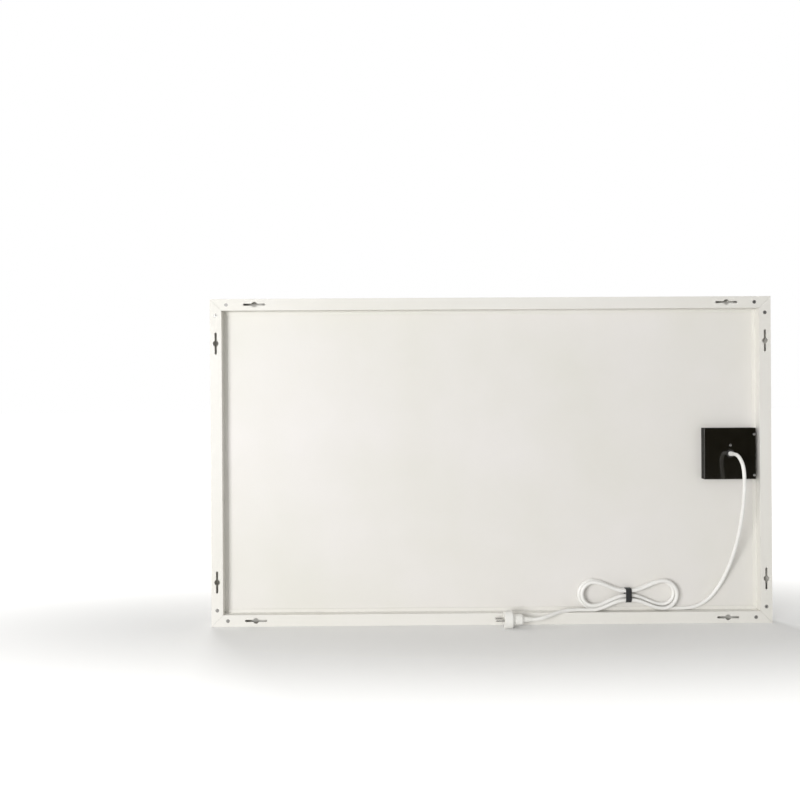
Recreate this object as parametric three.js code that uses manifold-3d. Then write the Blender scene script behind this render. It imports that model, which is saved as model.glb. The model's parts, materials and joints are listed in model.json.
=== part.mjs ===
// Infrared panel heater. A slim white radiant panel lies in a mitred aluminium frame. Its back is a shallow
// tray that holds a black junction box and the mains lead, folded into a tied hank, and the frame's rear
// flange has eight double-ended keyhole slots to hang it by.
//
// Millimetres, +Z up. The panel stands on its lower long edge. Its warm face looks along -Y and its open
// back along +Y, and the origin is the middle of the frame's footprint. Left is -X, as seen from the front.
// Depths called "behind" are measured from the front plane of the frame, towards the back.

import Module from "manifold-3d";
import * as THREE from "three";
import { mergeVertices } from "three/addons/utils/BufferGeometryUtils.js";

const wasm = await Module();
wasm.setup();

// ---- Driving dimensions ----

const PANEL_WIDTH = 1200;
const PANEL_HEIGHT = 700;
const FRAME_DEPTH = 35;

// Clearances: between flat faces that rest on each other, around turned pieces, at a cut joint.
const SEAT_GAP = 0.1;
const ROUND_GAP = 0.3;
const MITRE_GAP = 0.2;
const CUT_OVER = 1;

// Frame extrusion. Widths run inwards from the outer face.
const RAIL_WALL = 1.5;
const LIP_THICKNESS = 2;
const LIP_FLAT = 12;
const LIP_BEVEL_WIDTH = 2.6;
const LIP_BEVEL_DEPTH = 1.6;
const FLANGE_WIDTH = 25;
const LEDGE_WIDTH = 7.5;

// Sheets held between the lip and the ledge, front to back.
const POCKET_GAP = 0.5;
const PLATE_THICKNESS = 1.2;
const ELEMENT_THICKNESS = 0.8;
const FOIL_THICKNESS = 0.2;
const BOARD_THICKNESS = 8;
const BACK_THICKNESS = 1;
const ELEMENT_SIDE_MARGIN = 40;
const ELEMENT_END_MARGIN = 45;
const BUS_BAR_WIDTH = 12;

// Keyhole slots and corner fixings, measured from the frame's outer corners.
const KEYHOLE_INSET = 95;
const KEYHOLE_ROUND = 12;
const KEYHOLE_LENGTH = 47;
const KEYHOLE_SLOT = 4.5;
const SCREW_INSET = 35;
const SCREW_SHANK = 4;
const SCREW_HEAD = 8;
const SCREW_HEAD_DEPTH = 2;
const SCREW_LENGTH = 7;
const KEY_ARM = 60;
const KEY_WIDTH = 20;
const KEY_THICKNESS = 3;

// Junction box, on the back plate at mid-height beside the left rail's ledge.
const BOX_SIDE = 110;
const BOX_CENTRE_Z = 363;
const BOX_WALL = 2.5;
const BOX_FLOOR = 2;
const BOX_BASE_HEIGHT = 16.4;
const LID_THICKNESS = 2.5;
const BOSS_DIAMETER = 7;
const BOSS_INSET = 3.9;
const BOSS_BELOW_TOP = 14;
const BOSS_ABOVE_BOTTOM = 8.6;
const LID_SCREW_SHANK = 3;
const LID_SCREW_HEAD = 5.6;
const LID_SCREW_HEAD_HEIGHT = 1.8;
const LID_SCREW_LENGTH = 9;
const CLAMP_SCREW_RISE = 18;

// Cord entry, through the middle of the lid.
const RELIEF_LENGTH = 23;
const RELIEF_ROOT = 10;
const RELIEF_TIP = 8.2;
const RELIEF_OUT = 16.2;
const GROMMET_WALL = 1.4;
const GROMMET_FLANGE = 17;
const GROMMET_PROUD = 2;
const CLAMP_WIDTH = 30;
const CLAMP_LENGTH = 38;
const CLAMP_THICKNESS = 3;

// Wiring inside. The terminals lie to both sides of the box's centre line, and the window that the wires
// pass through lies close to its lower wall. The earth stud is set in from the walls of its upper corner.
const WIRE_DIAMETER = 2.6;
const LIVE_OFFSET = -8.6;
const NEUTRAL_OFFSET = 7.4;
const WINDOW_SIDE = 6;
const WINDOW_MARGIN = 0.5;
const WINDOW_HEIGHT = 16;
const TERMINAL_LAP = 1;
const TERMINAL_LENGTH = 18;
const TERMINAL_OVERHANG = 7;
const TERMINAL_HEIGHT = 11;
const TERMINAL_WELL = 4.5;
const TERMINAL_WELL_DEPTH = 4;
const CUTOUT_RISE = 157;
const CUTOUT_DIAMETER = 16;
const CUTOUT_HEIGHT = 5.5;
const STUD_SIDE_INSET = 22;
const STUD_TOP_INSET = 21;
const STUD_DIAMETER = 4;
const STUD_HEIGHT = 10.2;
const NUT_ACROSS_CORNERS = 8.1;
const NUT_HEIGHT = 3.2;

// Mains lead. It rests on the inner face of the bottom rail, inside the rear tray.
const CORD_DIAMETER = 7.5;
const CORD_SIDES = 10;
const CORD_STEP = 2.5 * CORD_DIAMETER;

// Hank: a fold in line with the panel, two layers deep, drawn in at the tie.
const HANK_CENTRE_X = -293;
const HANK_RUN = 150;
const HANK_FOLD_RADIUS = 22.5;
const HANK_PITCH = 9.2;
const HANK_WAIST_PITCH = 10.2;
const HANK_WAIST_HALF = 2.4;
const HANK_LAYER = 8.4;
const HANK_TURNS = 2;
const LOOP_STEPS = 24;
const RUN_STEPS = 5;
const WAIST_LENGTH = 16;
const TIE_WIDTH = 12;
const TIE_THICKNESS = 1.2;

// Two-pin earthed plug, lying on the floor close behind the panel.
const PLUG_ENTRY = [-80, 41];
const PLUG_HEAD = 37;
const PLUG_FLAT = 36;
const PLUG_LENGTH = 58;
const PIN_DIAMETER = 4.8;
const PIN_LENGTH = 19;
const PIN_SPACING = 19;
const CONTACT_WIDTH = 4.6;
const CONTACT_LENGTH = 12;
const CONTACT_THICKNESS = 0.8;

// ---- Finishes ----

const FINISH = {
  whitePowder: { color: 0xf0efea, roughness: 0.45, metalness: 0 },
  whiteEnamel: { color: 0xf3f1ea, roughness: 0.38, metalness: 0 },
  carbonFilm: { color: 0x2b2a29, roughness: 0.7, metalness: 0 },
  copper: { color: 0xb87350, roughness: 0.35, metalness: 1 },
  brass: { color: 0xc8a960, roughness: 0.35, metalness: 1 },
  foil: { color: 0xd5d7d9, roughness: 0.25, metalness: 1 },
  mineralWool: { color: 0xc9bf93, roughness: 0.95, metalness: 0 },
  zinc: { color: 0xb9bbbd, roughness: 0.35, metalness: 1 },
  blackGloss: { color: 0x191712, roughness: 0.12, metalness: 0 },
  blackRubber: { color: 0x1b1a19, roughness: 0.7, metalness: 0 },
  ceramic: { color: 0xe6e2d8, roughness: 0.55, metalness: 0 },
  brownWire: { color: 0x6b4128, roughness: 0.5, metalness: 0 },
  blueWire: { color: 0x2c5fa8, roughness: 0.5, metalness: 0 },
  greenWire: { color: 0x6d8f2d, roughness: 0.5, metalness: 0 },
  whiteCord: { color: 0xefede8, roughness: 0.5, metalness: 0 },
  whitePlug: { color: 0xecebe6, roughness: 0.4, metalness: 0 },
  nickel: { color: 0xc9c7c1, roughness: 0.25, metalness: 1 },
};

// ---- Depths and places that follow from the dimensions ----

const CORD_RADIUS = CORD_DIAMETER / 2;
const WIRE_RADIUS = WIRE_DIAMETER / 2;
const POCKET = RAIL_WALL + POCKET_GAP;
const behind = (depth) => depth - FRAME_DEPTH / 2;

// The sheets stack back from the lip, each [front, back] behind the front plane.
function layer(front, thickness) {
  return [front + SEAT_GAP, front + SEAT_GAP + thickness];
}
const PLATE = layer(LIP_THICKNESS, PLATE_THICKNESS);
const ELEMENT = layer(PLATE[1], ELEMENT_THICKNESS);
const FOIL = layer(ELEMENT[1], FOIL_THICKNESS);
const BOARD = layer(FOIL[1], BOARD_THICKNESS);
const BACK = layer(BOARD[1], BACK_THICKNESS);
const LEDGE = layer(BACK[1], RAIL_WALL);
const CHAMBER = [LEDGE[1], FRAME_DEPTH - RAIL_WALL];

// The junction box stands on the back plate, against the inner edge of the left ledge.
const BOX_BASE = layer(BACK[1], BOX_BASE_HEIGHT);
const BOX_INNER_FLOOR = BOX_BASE[0] + BOX_FLOOR;
const LID = layer(BOX_BASE[1], LID_THICKNESS);
const BOX_LEFT = -PANEL_WIDTH / 2 + FLANGE_WIDTH + LEDGE_WIDTH + SEAT_GAP;
const BOX_CENTRE_X = BOX_LEFT + BOX_SIDE / 2;
const BOX_X = [BOX_LEFT, BOX_LEFT + BOX_SIDE];
const BOX_Z = [BOX_CENTRE_Z - BOX_SIDE / 2, BOX_CENTRE_Z + BOX_SIDE / 2];
const LID_BORE = RELIEF_ROOT + 2 * (ROUND_GAP + GROMMET_WALL + ROUND_GAP);
const RELIEF_TIP_Y = behind(LID[1]) + RELIEF_OUT;
const RELIEF_INNER_Y = RELIEF_TIP_Y - RELIEF_LENGTH;

// The wiring lies in the board behind the foil, in the window and in the box.
const LIVE_X = BOX_CENTRE_X + LIVE_OFFSET;
const NEUTRAL_X = BOX_CENTRE_X + NEUTRAL_OFFSET;
const WIRE_DEPTH = FOIL[1] + ROUND_GAP + WIRE_RADIUS;
const WINDOW_LOW = BOX_Z[0] + BOX_WALL + WINDOW_MARGIN;
const WINDOW_HIGH = WINDOW_LOW + WINDOW_HEIGHT;
const TERMINAL_LOW = WINDOW_HIGH - TERMINAL_LAP;
const TERMINAL_HIGH = TERMINAL_LOW + TERMINAL_LENGTH;
const CUTOUT_Z = BOX_CENTRE_Z + CUTOUT_RISE;
const STUD_X = BOX_X[1] - BOX_WALL - STUD_SIDE_INSET;
const STUD_Z = BOX_Z[1] - BOX_WALL - STUD_TOP_INSET;

// ---- Shapes ----

// Welds a geometry's vertices and drops the slivers that a lathe leaves at its poles.
function weld(geometry) {
  const bare = geometry.clone();
  bare.deleteAttribute("normal");
  bare.deleteAttribute("uv");
  const welded = mergeVertices(bare, 1e-4);
  const index = welded.index.array;
  const kept = [];
  for (let i = 0; i < index.length; i += 3) {
    const [a, b, c] = [index[i], index[i + 1], index[i + 2]];
    if (a !== b && b !== c && c !== a) kept.push(a, b, c);
  }
  welded.setIndex(kept);
  return welded;
}

function toSolid(geometry) {
  const welded = weld(geometry);
  const mesh = new wasm.Mesh({
    numProp: 3,
    vertProperties: new Float32Array(welded.attributes.position.array),
    triVerts: new Uint32Array(welded.index.array),
  });
  return new wasm.Manifold(mesh);
}

function fromSolid(solid) {
  const mesh = solid.getMesh();
  const geometry = new THREE.BufferGeometry();
  geometry.setAttribute("position", new THREE.BufferAttribute(mesh.vertProperties, 3));
  geometry.setIndex(new THREE.BufferAttribute(mesh.triVerts, 1));
  return geometry;
}

function cut(geometry, tools) {
  return fromSolid(tools.reduce((solid, tool) => solid.subtract(toSolid(tool)), toSolid(geometry)));
}

function join(geometry, pieces) {
  return fromSolid(pieces.reduce((solid, piece) => solid.add(toSolid(piece)), toSolid(geometry)));
}

// A block between two values on each axis.
function block([x0, x1], [y0, y1], [z0, z1]) {
  const geometry = new THREE.BoxGeometry(x1 - x0, y1 - y0, z1 - z0);
  return geometry.translate((x0 + x1) / 2, (y0 + y1) / 2, (z0 + z1) / 2);
}

// A round pin along Y.
function pin(diameter, [y0, y1], x, z, sides = 24) {
  const geometry = new THREE.CylinderGeometry(diameter / 2, diameter / 2, y1 - y0, sides);
  return geometry.translate(x, (y0 + y1) / 2, z);
}

// A turned piece about the Y axis, from [radius, y] pairs in order of rising y.
function turned(profile, sides = 24) {
  return new THREE.LatheGeometry(profile.map(([r, y]) => new THREE.Vector2(r, y)), sides);
}

function roundSection(diameter, sides) {
  const shape = new THREE.Shape();
  for (let i = 0; i < sides; i += 1) {
    const angle = (2 * Math.PI * i) / sides;
    const [x, y] = [(diameter / 2) * Math.cos(angle), (diameter / 2) * Math.sin(angle)];
    if (i === 0) shape.moveTo(x, y);
    else shape.lineTo(x, y);
  }
  shape.closePath();
  return shape;
}

// A solid tube along a smooth curve through the points.
function tube(points, diameter, sides, step) {
  const curve = new THREE.CatmullRomCurve3(points, false, "centripetal");
  const steps = Math.ceil(curve.getLength() / step);
  return new THREE.ExtrudeGeometry(roundSection(diameter, sides), {
    extrudePath: curve,
    steps,
    bevelEnabled: false,
  });
}

function piece(name, geometry, finish) {
  const mesh = new THREE.Mesh(geometry, new THREE.MeshStandardMaterial(finish));
  mesh.name = name;
  return mesh;
}

const heater = new THREE.Group();

// ---- Frame ----

// The extrusion's section: x runs inwards from the outer face, y back from the front plane. The pocket
// between lip and ledge grips the sheets, and the closed chamber behind it takes the corner keys.
function railSection() {
  const lipTip = LIP_FLAT + LIP_BEVEL_WIDTH;
  const ledgeTip = FLANGE_WIDTH + LEDGE_WIDTH;
  const outline = [
    [0, 0],
    [LIP_FLAT, 0],
    [lipTip, LIP_BEVEL_DEPTH],
    [lipTip, LIP_THICKNESS],
    [RAIL_WALL, LIP_THICKNESS],
    [RAIL_WALL, LEDGE[0]],
    [ledgeTip, LEDGE[0]],
    [ledgeTip, LEDGE[1]],
    [FLANGE_WIDTH, LEDGE[1]],
    [FLANGE_WIDTH, FRAME_DEPTH],
    [0, FRAME_DEPTH],
  ];
  const chamber = [
    [RAIL_WALL, CHAMBER[0]],
    [FLANGE_WIDTH - RAIL_WALL, CHAMBER[0]],
    [FLANGE_WIDTH - RAIL_WALL, CHAMBER[1]],
    [RAIL_WALL, CHAMBER[1]],
  ];
  const shape = new THREE.Shape(outline.map(([x, y]) => new THREE.Vector2(x, y)));
  shape.holes.push(new THREE.Path(chamber.map(([x, y]) => new THREE.Vector2(x, y))));
  return shape;
}

// A rail lies along X, with its outer face on z = 0. Each end is drawn in by its distance from that
// face, which makes the 45 degree mitre.
function mitredRail(length) {
  const geometry = new THREE.ExtrudeGeometry(railSection(), { depth: 1, steps: 1, bevelEnabled: false });
  const position = geometry.attributes.position;
  for (let i = 0; i < position.count; i += 1) {
    const inwards = position.getX(i);
    const end = position.getZ(i) > 0.5 ? -1 : 1;
    const along = end * (length / 2 - inwards - MITRE_GAP * Math.SQRT1_2);
    position.setXYZ(i, along, behind(position.getY(i)), inwards);
  }
  return geometry;
}

// A double-ended keyhole through the flange: a round hole with a narrow slot to each side.
function keyholeTools(x) {
  const through = [behind(CHAMBER[1]) - CUT_OVER, behind(FRAME_DEPTH) + CUT_OVER];
  const middle = FLANGE_WIDTH / 2;
  const half = (KEYHOLE_LENGTH - KEYHOLE_SLOT) / 2;
  const slot = block([x - half, x + half], through, [middle - KEYHOLE_SLOT / 2, middle + KEYHOLE_SLOT / 2]);
  return [
    pin(KEYHOLE_ROUND, through, x, middle),
    slot,
    pin(KEYHOLE_SLOT, through, x - half, middle, 16),
    pin(KEYHOLE_SLOT, through, x + half, middle, 16),
  ];
}

// The countersunk seat of a corner screw, cut a clearance wider than the screw, about the Y axis.
function countersinkTool(x, z) {
  const top = behind(FRAME_DEPTH);
  const widest = SCREW_HEAD / 2 + ROUND_GAP;
  const narrow = SCREW_SHANK / 2 + ROUND_GAP;
  const profile = [
    [0, top - SCREW_LENGTH - CUT_OVER],
    [narrow, top - SCREW_LENGTH - CUT_OVER],
    [narrow, top - SCREW_HEAD_DEPTH],
    [widest, top],
    [widest, top + CUT_OVER],
    [0, top + CUT_OVER],
  ];
  return turned(profile, 16).translate(x, 0, z);
}

function railGeometry(length) {
  const tools = [];
  for (const end of [-1, 1]) {
    tools.push(...keyholeTools(end * (length / 2 - KEYHOLE_INSET)));
    tools.push(countersinkTool(end * (length / 2 - SCREW_INSET), FLANGE_WIDTH / 2));
  }
  return cut(mitredRail(length), tools);
}

const RAILS = [
  { name: "frame_rail_bottom", length: PANEL_WIDTH, at: [0, 0], turn: 0 },
  { name: "frame_rail_top", length: PANEL_WIDTH, at: [0, PANEL_HEIGHT], turn: Math.PI },
  { name: "frame_rail_left", length: PANEL_HEIGHT, at: [-PANEL_WIDTH / 2, PANEL_HEIGHT / 2], turn: Math.PI / 2 },
  { name: "frame_rail_right", length: PANEL_HEIGHT, at: [PANEL_WIDTH / 2, PANEL_HEIGHT / 2], turn: -Math.PI / 2 },
];
for (const { name, length, at, turn } of RAILS) {
  const rail = piece(name, railGeometry(length), FINISH.whitePowder);
  rail.position.set(at[0], 0, at[1]);
  rail.rotation.y = turn;
  heater.add(rail);
}

// ---- Corner keys and screws ----

// A flat L behind the flange, with its corner at the frame's outer corner and an arm along X and along Z.
function cornerKeyGeometry() {
  const edge = (FLANGE_WIDTH - KEY_WIDTH) / 2;
  const inner = edge + KEY_WIDTH;
  const outline = [
    [edge, edge],
    [KEY_ARM, edge],
    [KEY_ARM, inner],
    [inner, inner],
    [inner, KEY_ARM],
    [edge, KEY_ARM],
  ];
  const shape = new THREE.Shape(outline.map(([x, z]) => new THREE.Vector2(x, z)));
  const back = behind(CHAMBER[1]) - ROUND_GAP;
  const plate = new THREE.ExtrudeGeometry(shape, { depth: KEY_THICKNESS, bevelEnabled: false });
  plate.rotateX(Math.PI / 2).translate(0, back, 0);
  const middle = FLANGE_WIDTH / 2;
  return cut(plate, [countersinkTool(SCREW_INSET, middle), countersinkTool(middle, SCREW_INSET)]);
}

function cornerScrewGeometry() {
  const top = behind(FRAME_DEPTH) - SEAT_GAP;
  return turned([
    [0, top - SCREW_LENGTH],
    [SCREW_SHANK / 2 - 0.4, top - SCREW_LENGTH],
    [SCREW_SHANK / 2, top - SCREW_LENGTH + 0.6],
    [SCREW_SHANK / 2, top - SCREW_HEAD_DEPTH],
    [SCREW_HEAD / 2, top],
    [0, top],
  ], 16);
}

const CORNERS = [
  { name: "bottom_left", at: [-PANEL_WIDTH / 2, 0], turn: 0 },
  { name: "bottom_right", at: [PANEL_WIDTH / 2, 0], turn: -Math.PI / 2 },
  { name: "top_right", at: [PANEL_WIDTH / 2, PANEL_HEIGHT], turn: Math.PI },
  { name: "top_left", at: [-PANEL_WIDTH / 2, PANEL_HEIGHT], turn: Math.PI / 2 },
];
for (const { name, at, turn } of CORNERS) {
  const corner = new THREE.Group();
  corner.position.set(at[0], 0, at[1]);
  corner.rotation.y = turn;
  corner.add(piece(`corner_key_${name}`, cornerKeyGeometry(), FINISH.zinc));
  [[SCREW_INSET, FLANGE_WIDTH / 2], [FLANGE_WIDTH / 2, SCREW_INSET]].forEach(([x, z], i) => {
    const screw = piece(`corner_screw_${name}_${i + 1}`, cornerScrewGeometry(), FINISH.zinc);
    screw.position.set(x, 0, z);
    corner.add(screw);
  });
  heater.add(corner);
}

// ---- Sheets ----

const SHEET_X = [-PANEL_WIDTH / 2 + POCKET, PANEL_WIDTH / 2 - POCKET];
const SHEET_Z = [POCKET, PANEL_HEIGHT - POCKET];
const ELEMENT_X = [-PANEL_WIDTH / 2 + ELEMENT_SIDE_MARGIN, PANEL_WIDTH / 2 - ELEMENT_SIDE_MARGIN];
const ELEMENT_Z = [ELEMENT_END_MARGIN, PANEL_HEIGHT - ELEMENT_END_MARGIN];
const BAR_BOTTOM_Z = [ELEMENT_Z[0] - SEAT_GAP - BUS_BAR_WIDTH, ELEMENT_Z[0] - SEAT_GAP];
const BAR_TOP_Z = [ELEMENT_Z[1] + SEAT_GAP, ELEMENT_Z[1] + SEAT_GAP + BUS_BAR_WIDTH];
const WINDOW_X = [LIVE_X - WINDOW_SIDE, NEUTRAL_X + WINDOW_SIDE];
const WINDOW_Z = [WINDOW_LOW, WINDOW_HIGH];

const depths = ([front, back]) => [behind(front), behind(back)];

heater.add(piece("radiant_plate", block(SHEET_X, depths(PLATE), SHEET_Z), FINISH.whiteEnamel));
heater.add(piece("heating_element", block(ELEMENT_X, depths(ELEMENT), ELEMENT_Z), FINISH.carbonFilm));
heater.add(piece("reflective_foil", block(ELEMENT_X, depths(FOIL), ELEMENT_Z), FINISH.foil));

const BAR_Y = [behind(ELEMENT[0]), behind(FOIL[1])];
heater.add(piece("bus_bar_bottom", block(ELEMENT_X, BAR_Y, BAR_BOTTOM_Z), FINISH.copper));
heater.add(piece("bus_bar_top", block(ELEMENT_X, BAR_Y, BAR_TOP_Z), FINISH.copper));

// The wires pass through one window in the board, the back plate and the box's floor.
function windowTool([y0, y1]) {
  return block(WINDOW_X, [y0 - CUT_OVER, y1 + CUT_OVER], WINDOW_Z);
}

// The board has a groove for each lead and a round pocket for the thermal cut-out, open to its front.
function insulationGeometry() {
  const [front, back] = depths(BOARD);
  const half = WIRE_RADIUS + ROUND_GAP + SEAT_GAP;
  const grooveY = [front - CUT_OVER, behind(WIRE_DEPTH) + WIRE_RADIUS + ROUND_GAP];
  const pocketY = [front - CUT_OVER, front + ROUND_GAP + CUTOUT_HEIGHT + ROUND_GAP];
  return cut(block(SHEET_X, [front, back], SHEET_Z), [
    windowTool([front, back]),
    block([LIVE_X - half, LIVE_X + half], grooveY, [WINDOW_HIGH - CUT_OVER, BAR_TOP_Z[1] + CUT_OVER]),
    block([NEUTRAL_X - half, NEUTRAL_X + half], grooveY, [BAR_BOTTOM_Z[0] - CUT_OVER, WINDOW_LOW + CUT_OVER]),
    pin(CUTOUT_DIAMETER + 2 * ROUND_GAP, pocketY, LIVE_X, CUTOUT_Z),
  ]);
}
heater.add(piece("insulation_board", insulationGeometry(), FINISH.mineralWool));

const backPlate = cut(block(SHEET_X, depths(BACK), SHEET_Z), [windowTool(depths(BACK))]);
heater.add(piece("back_plate", backPlate, FINISH.whiteEnamel));

// ---- Junction box ----

const BOSS_X = BOX_LEFT + BOSS_INSET;
const BOSS_PLACES = [
  { name: "lid_screw_upper", x: BOSS_X, z: BOX_Z[1] - BOSS_BELOW_TOP },
  { name: "lid_screw_lower", x: BOSS_X, z: BOX_Z[0] + BOSS_ABOVE_BOTTOM },
];
const CLAMP_SCREW = { name: "clamp_screw", x: BOX_CENTRE_X, z: BOX_CENTRE_Z + CLAMP_SCREW_RISE };

function boxBaseGeometry() {
  const [y0, y1] = depths(BOX_BASE);
  const floor = behind(BOX_INNER_FLOOR);
  const inset = ([low, high]) => [low + BOX_WALL, high - BOX_WALL];
  const shell = cut(block(BOX_X, [y0, y1], BOX_Z), [block(inset(BOX_X), [floor, y1 + CUT_OVER], inset(BOX_Z))]);
  const bosses = BOSS_PLACES.map(({ x, z }) => pin(BOSS_DIAMETER, [floor - BOX_FLOOR / 2, y1], x, z));
  const screwHole = LID_SCREW_SHANK + 2 * ROUND_GAP;
  const holes = BOSS_PLACES.map(({ x, z }) => pin(screwHole, [floor, y1 + CUT_OVER], x, z, 16));
  const studHole = pin(STUD_DIAMETER + 2 * ROUND_GAP, [y0 - CUT_OVER, floor + CUT_OVER], STUD_X, STUD_Z, 16);
  return cut(join(shell, bosses), [...holes, studHole, windowTool([y0, floor])]);
}
heater.add(piece("junction_box_base", boxBaseGeometry(), FINISH.blackGloss));

function lidGeometry() {
  const [y0, y1] = depths(LID);
  const through = [y0 - CUT_OVER, y1 + CUT_OVER];
  const screwHole = LID_SCREW_SHANK + 2 * ROUND_GAP;
  const holes = [...BOSS_PLACES, CLAMP_SCREW].map(({ x, z }) => pin(screwHole, through, x, z, 16));
  return cut(block(BOX_X, [y0, y1], BOX_Z), [...holes, pin(LID_BORE, through, BOX_CENTRE_X, BOX_CENTRE_Z, 32)]);
}
heater.add(piece("junction_box_lid", lidGeometry(), FINISH.blackGloss));

function lidScrewGeometry() {
  const seat = behind(LID[1]) + SEAT_GAP;
  return turned([
    [0, seat - LID_SCREW_LENGTH],
    [LID_SCREW_SHANK / 2, seat - LID_SCREW_LENGTH],
    [LID_SCREW_SHANK / 2, seat],
    [LID_SCREW_HEAD / 2, seat],
    [LID_SCREW_HEAD / 2 - 0.5, seat + LID_SCREW_HEAD_HEIGHT],
    [0, seat + LID_SCREW_HEAD_HEIGHT],
  ], 16);
}
for (const { name, x, z } of [...BOSS_PLACES, CLAMP_SCREW]) {
  const screw = piece(name, lidScrewGeometry(), FINISH.zinc);
  screw.position.set(x, 0, z);
  heater.add(screw);
}

// Under the lid, a clamp plate holds the strain relief and the grommet, drawn up by its screw.
function clampGeometry() {
  const back = behind(LID[0]) - SEAT_GAP;
  const y = [back - CLAMP_THICKNESS, back];
  const through = [y[0] - CUT_OVER, y[1] + CUT_OVER];
  const low = BOX_CENTRE_Z - (CLAMP_LENGTH - CLAMP_SCREW_RISE) / 2;
  const plate = block([BOX_CENTRE_X - CLAMP_WIDTH / 2, BOX_CENTRE_X + CLAMP_WIDTH / 2], y, [low, low + CLAMP_LENGTH]);
  return cut(plate, [
    pin(RELIEF_ROOT + 2 * ROUND_GAP, through, BOX_CENTRE_X, BOX_CENTRE_Z),
    pin(LID_SCREW_SHANK + 2 * ROUND_GAP, through, CLAMP_SCREW.x, CLAMP_SCREW.z, 16),
  ]);
}
heater.add(piece("cord_clamp", clampGeometry(), FINISH.blackRubber));

function grommetGeometry() {
  const [y0, y1] = depths(LID);
  const bore = RELIEF_ROOT / 2 + ROUND_GAP;
  const neck = LID_BORE / 2 - ROUND_GAP;
  const seat = y1 + SEAT_GAP;
  const top = y1 + GROMMET_PROUD;
  return turned([
    [bore, y0],
    [neck, y0],
    [neck, seat],
    [GROMMET_FLANGE / 2, seat],
    [GROMMET_FLANGE / 2 - 0.8, top],
    [bore, top],
    [bore, y0],
  ]);
}
const grommet = piece("lid_grommet", grommetGeometry(), FINISH.blackRubber);
grommet.position.set(BOX_CENTRE_X, 0, BOX_CENTRE_Z);
heater.add(grommet);

const reliefGeometry = turned([
  [0, RELIEF_INNER_Y],
  [RELIEF_ROOT / 2, RELIEF_INNER_Y],
  [RELIEF_ROOT / 2, behind(LID[1]) + GROMMET_PROUD],
  [RELIEF_TIP / 2, RELIEF_TIP_Y],
  [0, RELIEF_TIP_Y],
]);
const strainRelief = piece("strain_relief", reliefGeometry, FINISH.whiteCord);
strainRelief.position.set(BOX_CENTRE_X, 0, BOX_CENTRE_Z);
heater.add(strainRelief);

// ---- Wiring ----

function terminalBlockGeometry() {
  const y0 = behind(BOX_INNER_FLOOR) + SEAT_GAP;
  const y1 = y0 + TERMINAL_HEIGHT;
  const x = [LIVE_X - TERMINAL_OVERHANG, NEUTRAL_X + TERMINAL_OVERHANG];
  const quarter = (TERMINAL_HIGH - TERMINAL_LOW) / 4;
  const wells = [];
  for (const wellX of [LIVE_X, NEUTRAL_X]) {
    for (const wellZ of [TERMINAL_LOW + quarter, TERMINAL_HIGH - quarter]) {
      wells.push(pin(TERMINAL_WELL, [y1 - TERMINAL_WELL_DEPTH, y1 + CUT_OVER], wellX, wellZ, 12));
    }
  }
  return cut(block(x, [y0, y1], [TERMINAL_LOW, TERMINAL_HIGH]), wells);
}
heater.add(piece("terminal_block", terminalBlockGeometry(), FINISH.ceramic));

const cutoutY = behind(FOIL[1]) + ROUND_GAP;
const cutoutGeometry = pin(CUTOUT_DIAMETER, [cutoutY, cutoutY + CUTOUT_HEIGHT], LIVE_X, CUTOUT_Z);
heater.add(piece("thermal_cutout", cutoutGeometry, FINISH.nickel));

const studY = behind(BACK[1]) + SEAT_GAP;
heater.add(piece("earth_stud", pin(STUD_DIAMETER, [studY, studY + STUD_HEIGHT], STUD_X, STUD_Z, 16), FINISH.brass));

const nutY = behind(BOX_INNER_FLOOR) + SEAT_GAP;
const nutBlank = pin(NUT_ACROSS_CORNERS, [nutY, nutY + NUT_HEIGHT], STUD_X, STUD_Z, 6);
const nutBore = pin(STUD_DIAMETER + 2 * ROUND_GAP, [nutY - CUT_OVER, nutY + NUT_HEIGHT + CUT_OVER], STUD_X, STUD_Z, 16);
heater.add(piece("earth_nut", cut(nutBlank, [nutBore]), FINISH.brass));

// Wire routes are [x, depth behind the front plane, z].
const WIRE_ENDS = {
  reliefDepth: RELIEF_INNER_Y + FRAME_DEPTH / 2 - ROUND_GAP,
  terminalDepth: BOX_INNER_FLOOR + SEAT_GAP + TERMINAL_HEIGHT * 0.4,
  terminalTop: TERMINAL_HIGH + ROUND_GAP,
  terminalBottom: TERMINAL_LOW - ROUND_GAP,
  nutDepth: BOX_INNER_FLOOR + SEAT_GAP + NUT_HEIGHT + ROUND_GAP + WIRE_RADIUS,
};

function coreRoute(side, terminalX) {
  const { reliefDepth, terminalDepth, terminalTop } = WIRE_ENDS;
  const startX = BOX_CENTRE_X + side * 2.5;
  const startZ = BOX_CENTRE_Z - 1.5;
  const above = (share) => terminalTop + share * (startZ - terminalTop);
  return [
    [startX, reliefDepth, startZ],
    [startX, reliefDepth - 1.6, startZ],
    [startX + side * 1.2, terminalDepth + 1.2, above(0.83)],
    [terminalX - side * 2, terminalDepth, above(0.58)],
    [terminalX, terminalDepth, above(0.23)],
    [terminalX, terminalDepth, terminalTop],
  ];
}

function earthRoute() {
  const { reliefDepth, nutDepth } = WIRE_ENDS;
  const [startX, startZ] = [BOX_CENTRE_X, BOX_CENTRE_Z + 3];
  const reach = STUD_DIAMETER / 2 + ROUND_GAP;
  const [endX, endZ] = [STUD_X - reach * Math.SQRT1_2, STUD_Z - reach * Math.SQRT1_2];
  return [
    [startX, reliefDepth, startZ],
    [startX, reliefDepth - 1.6, startZ],
    [startX + 1.8, nutDepth + 1, startZ + 1.8],
    [startX + 6, nutDepth, startZ + 6],
    [endX - 5, nutDepth, endZ - 5],
    [endX, nutDepth, endZ],
  ];
}

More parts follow.
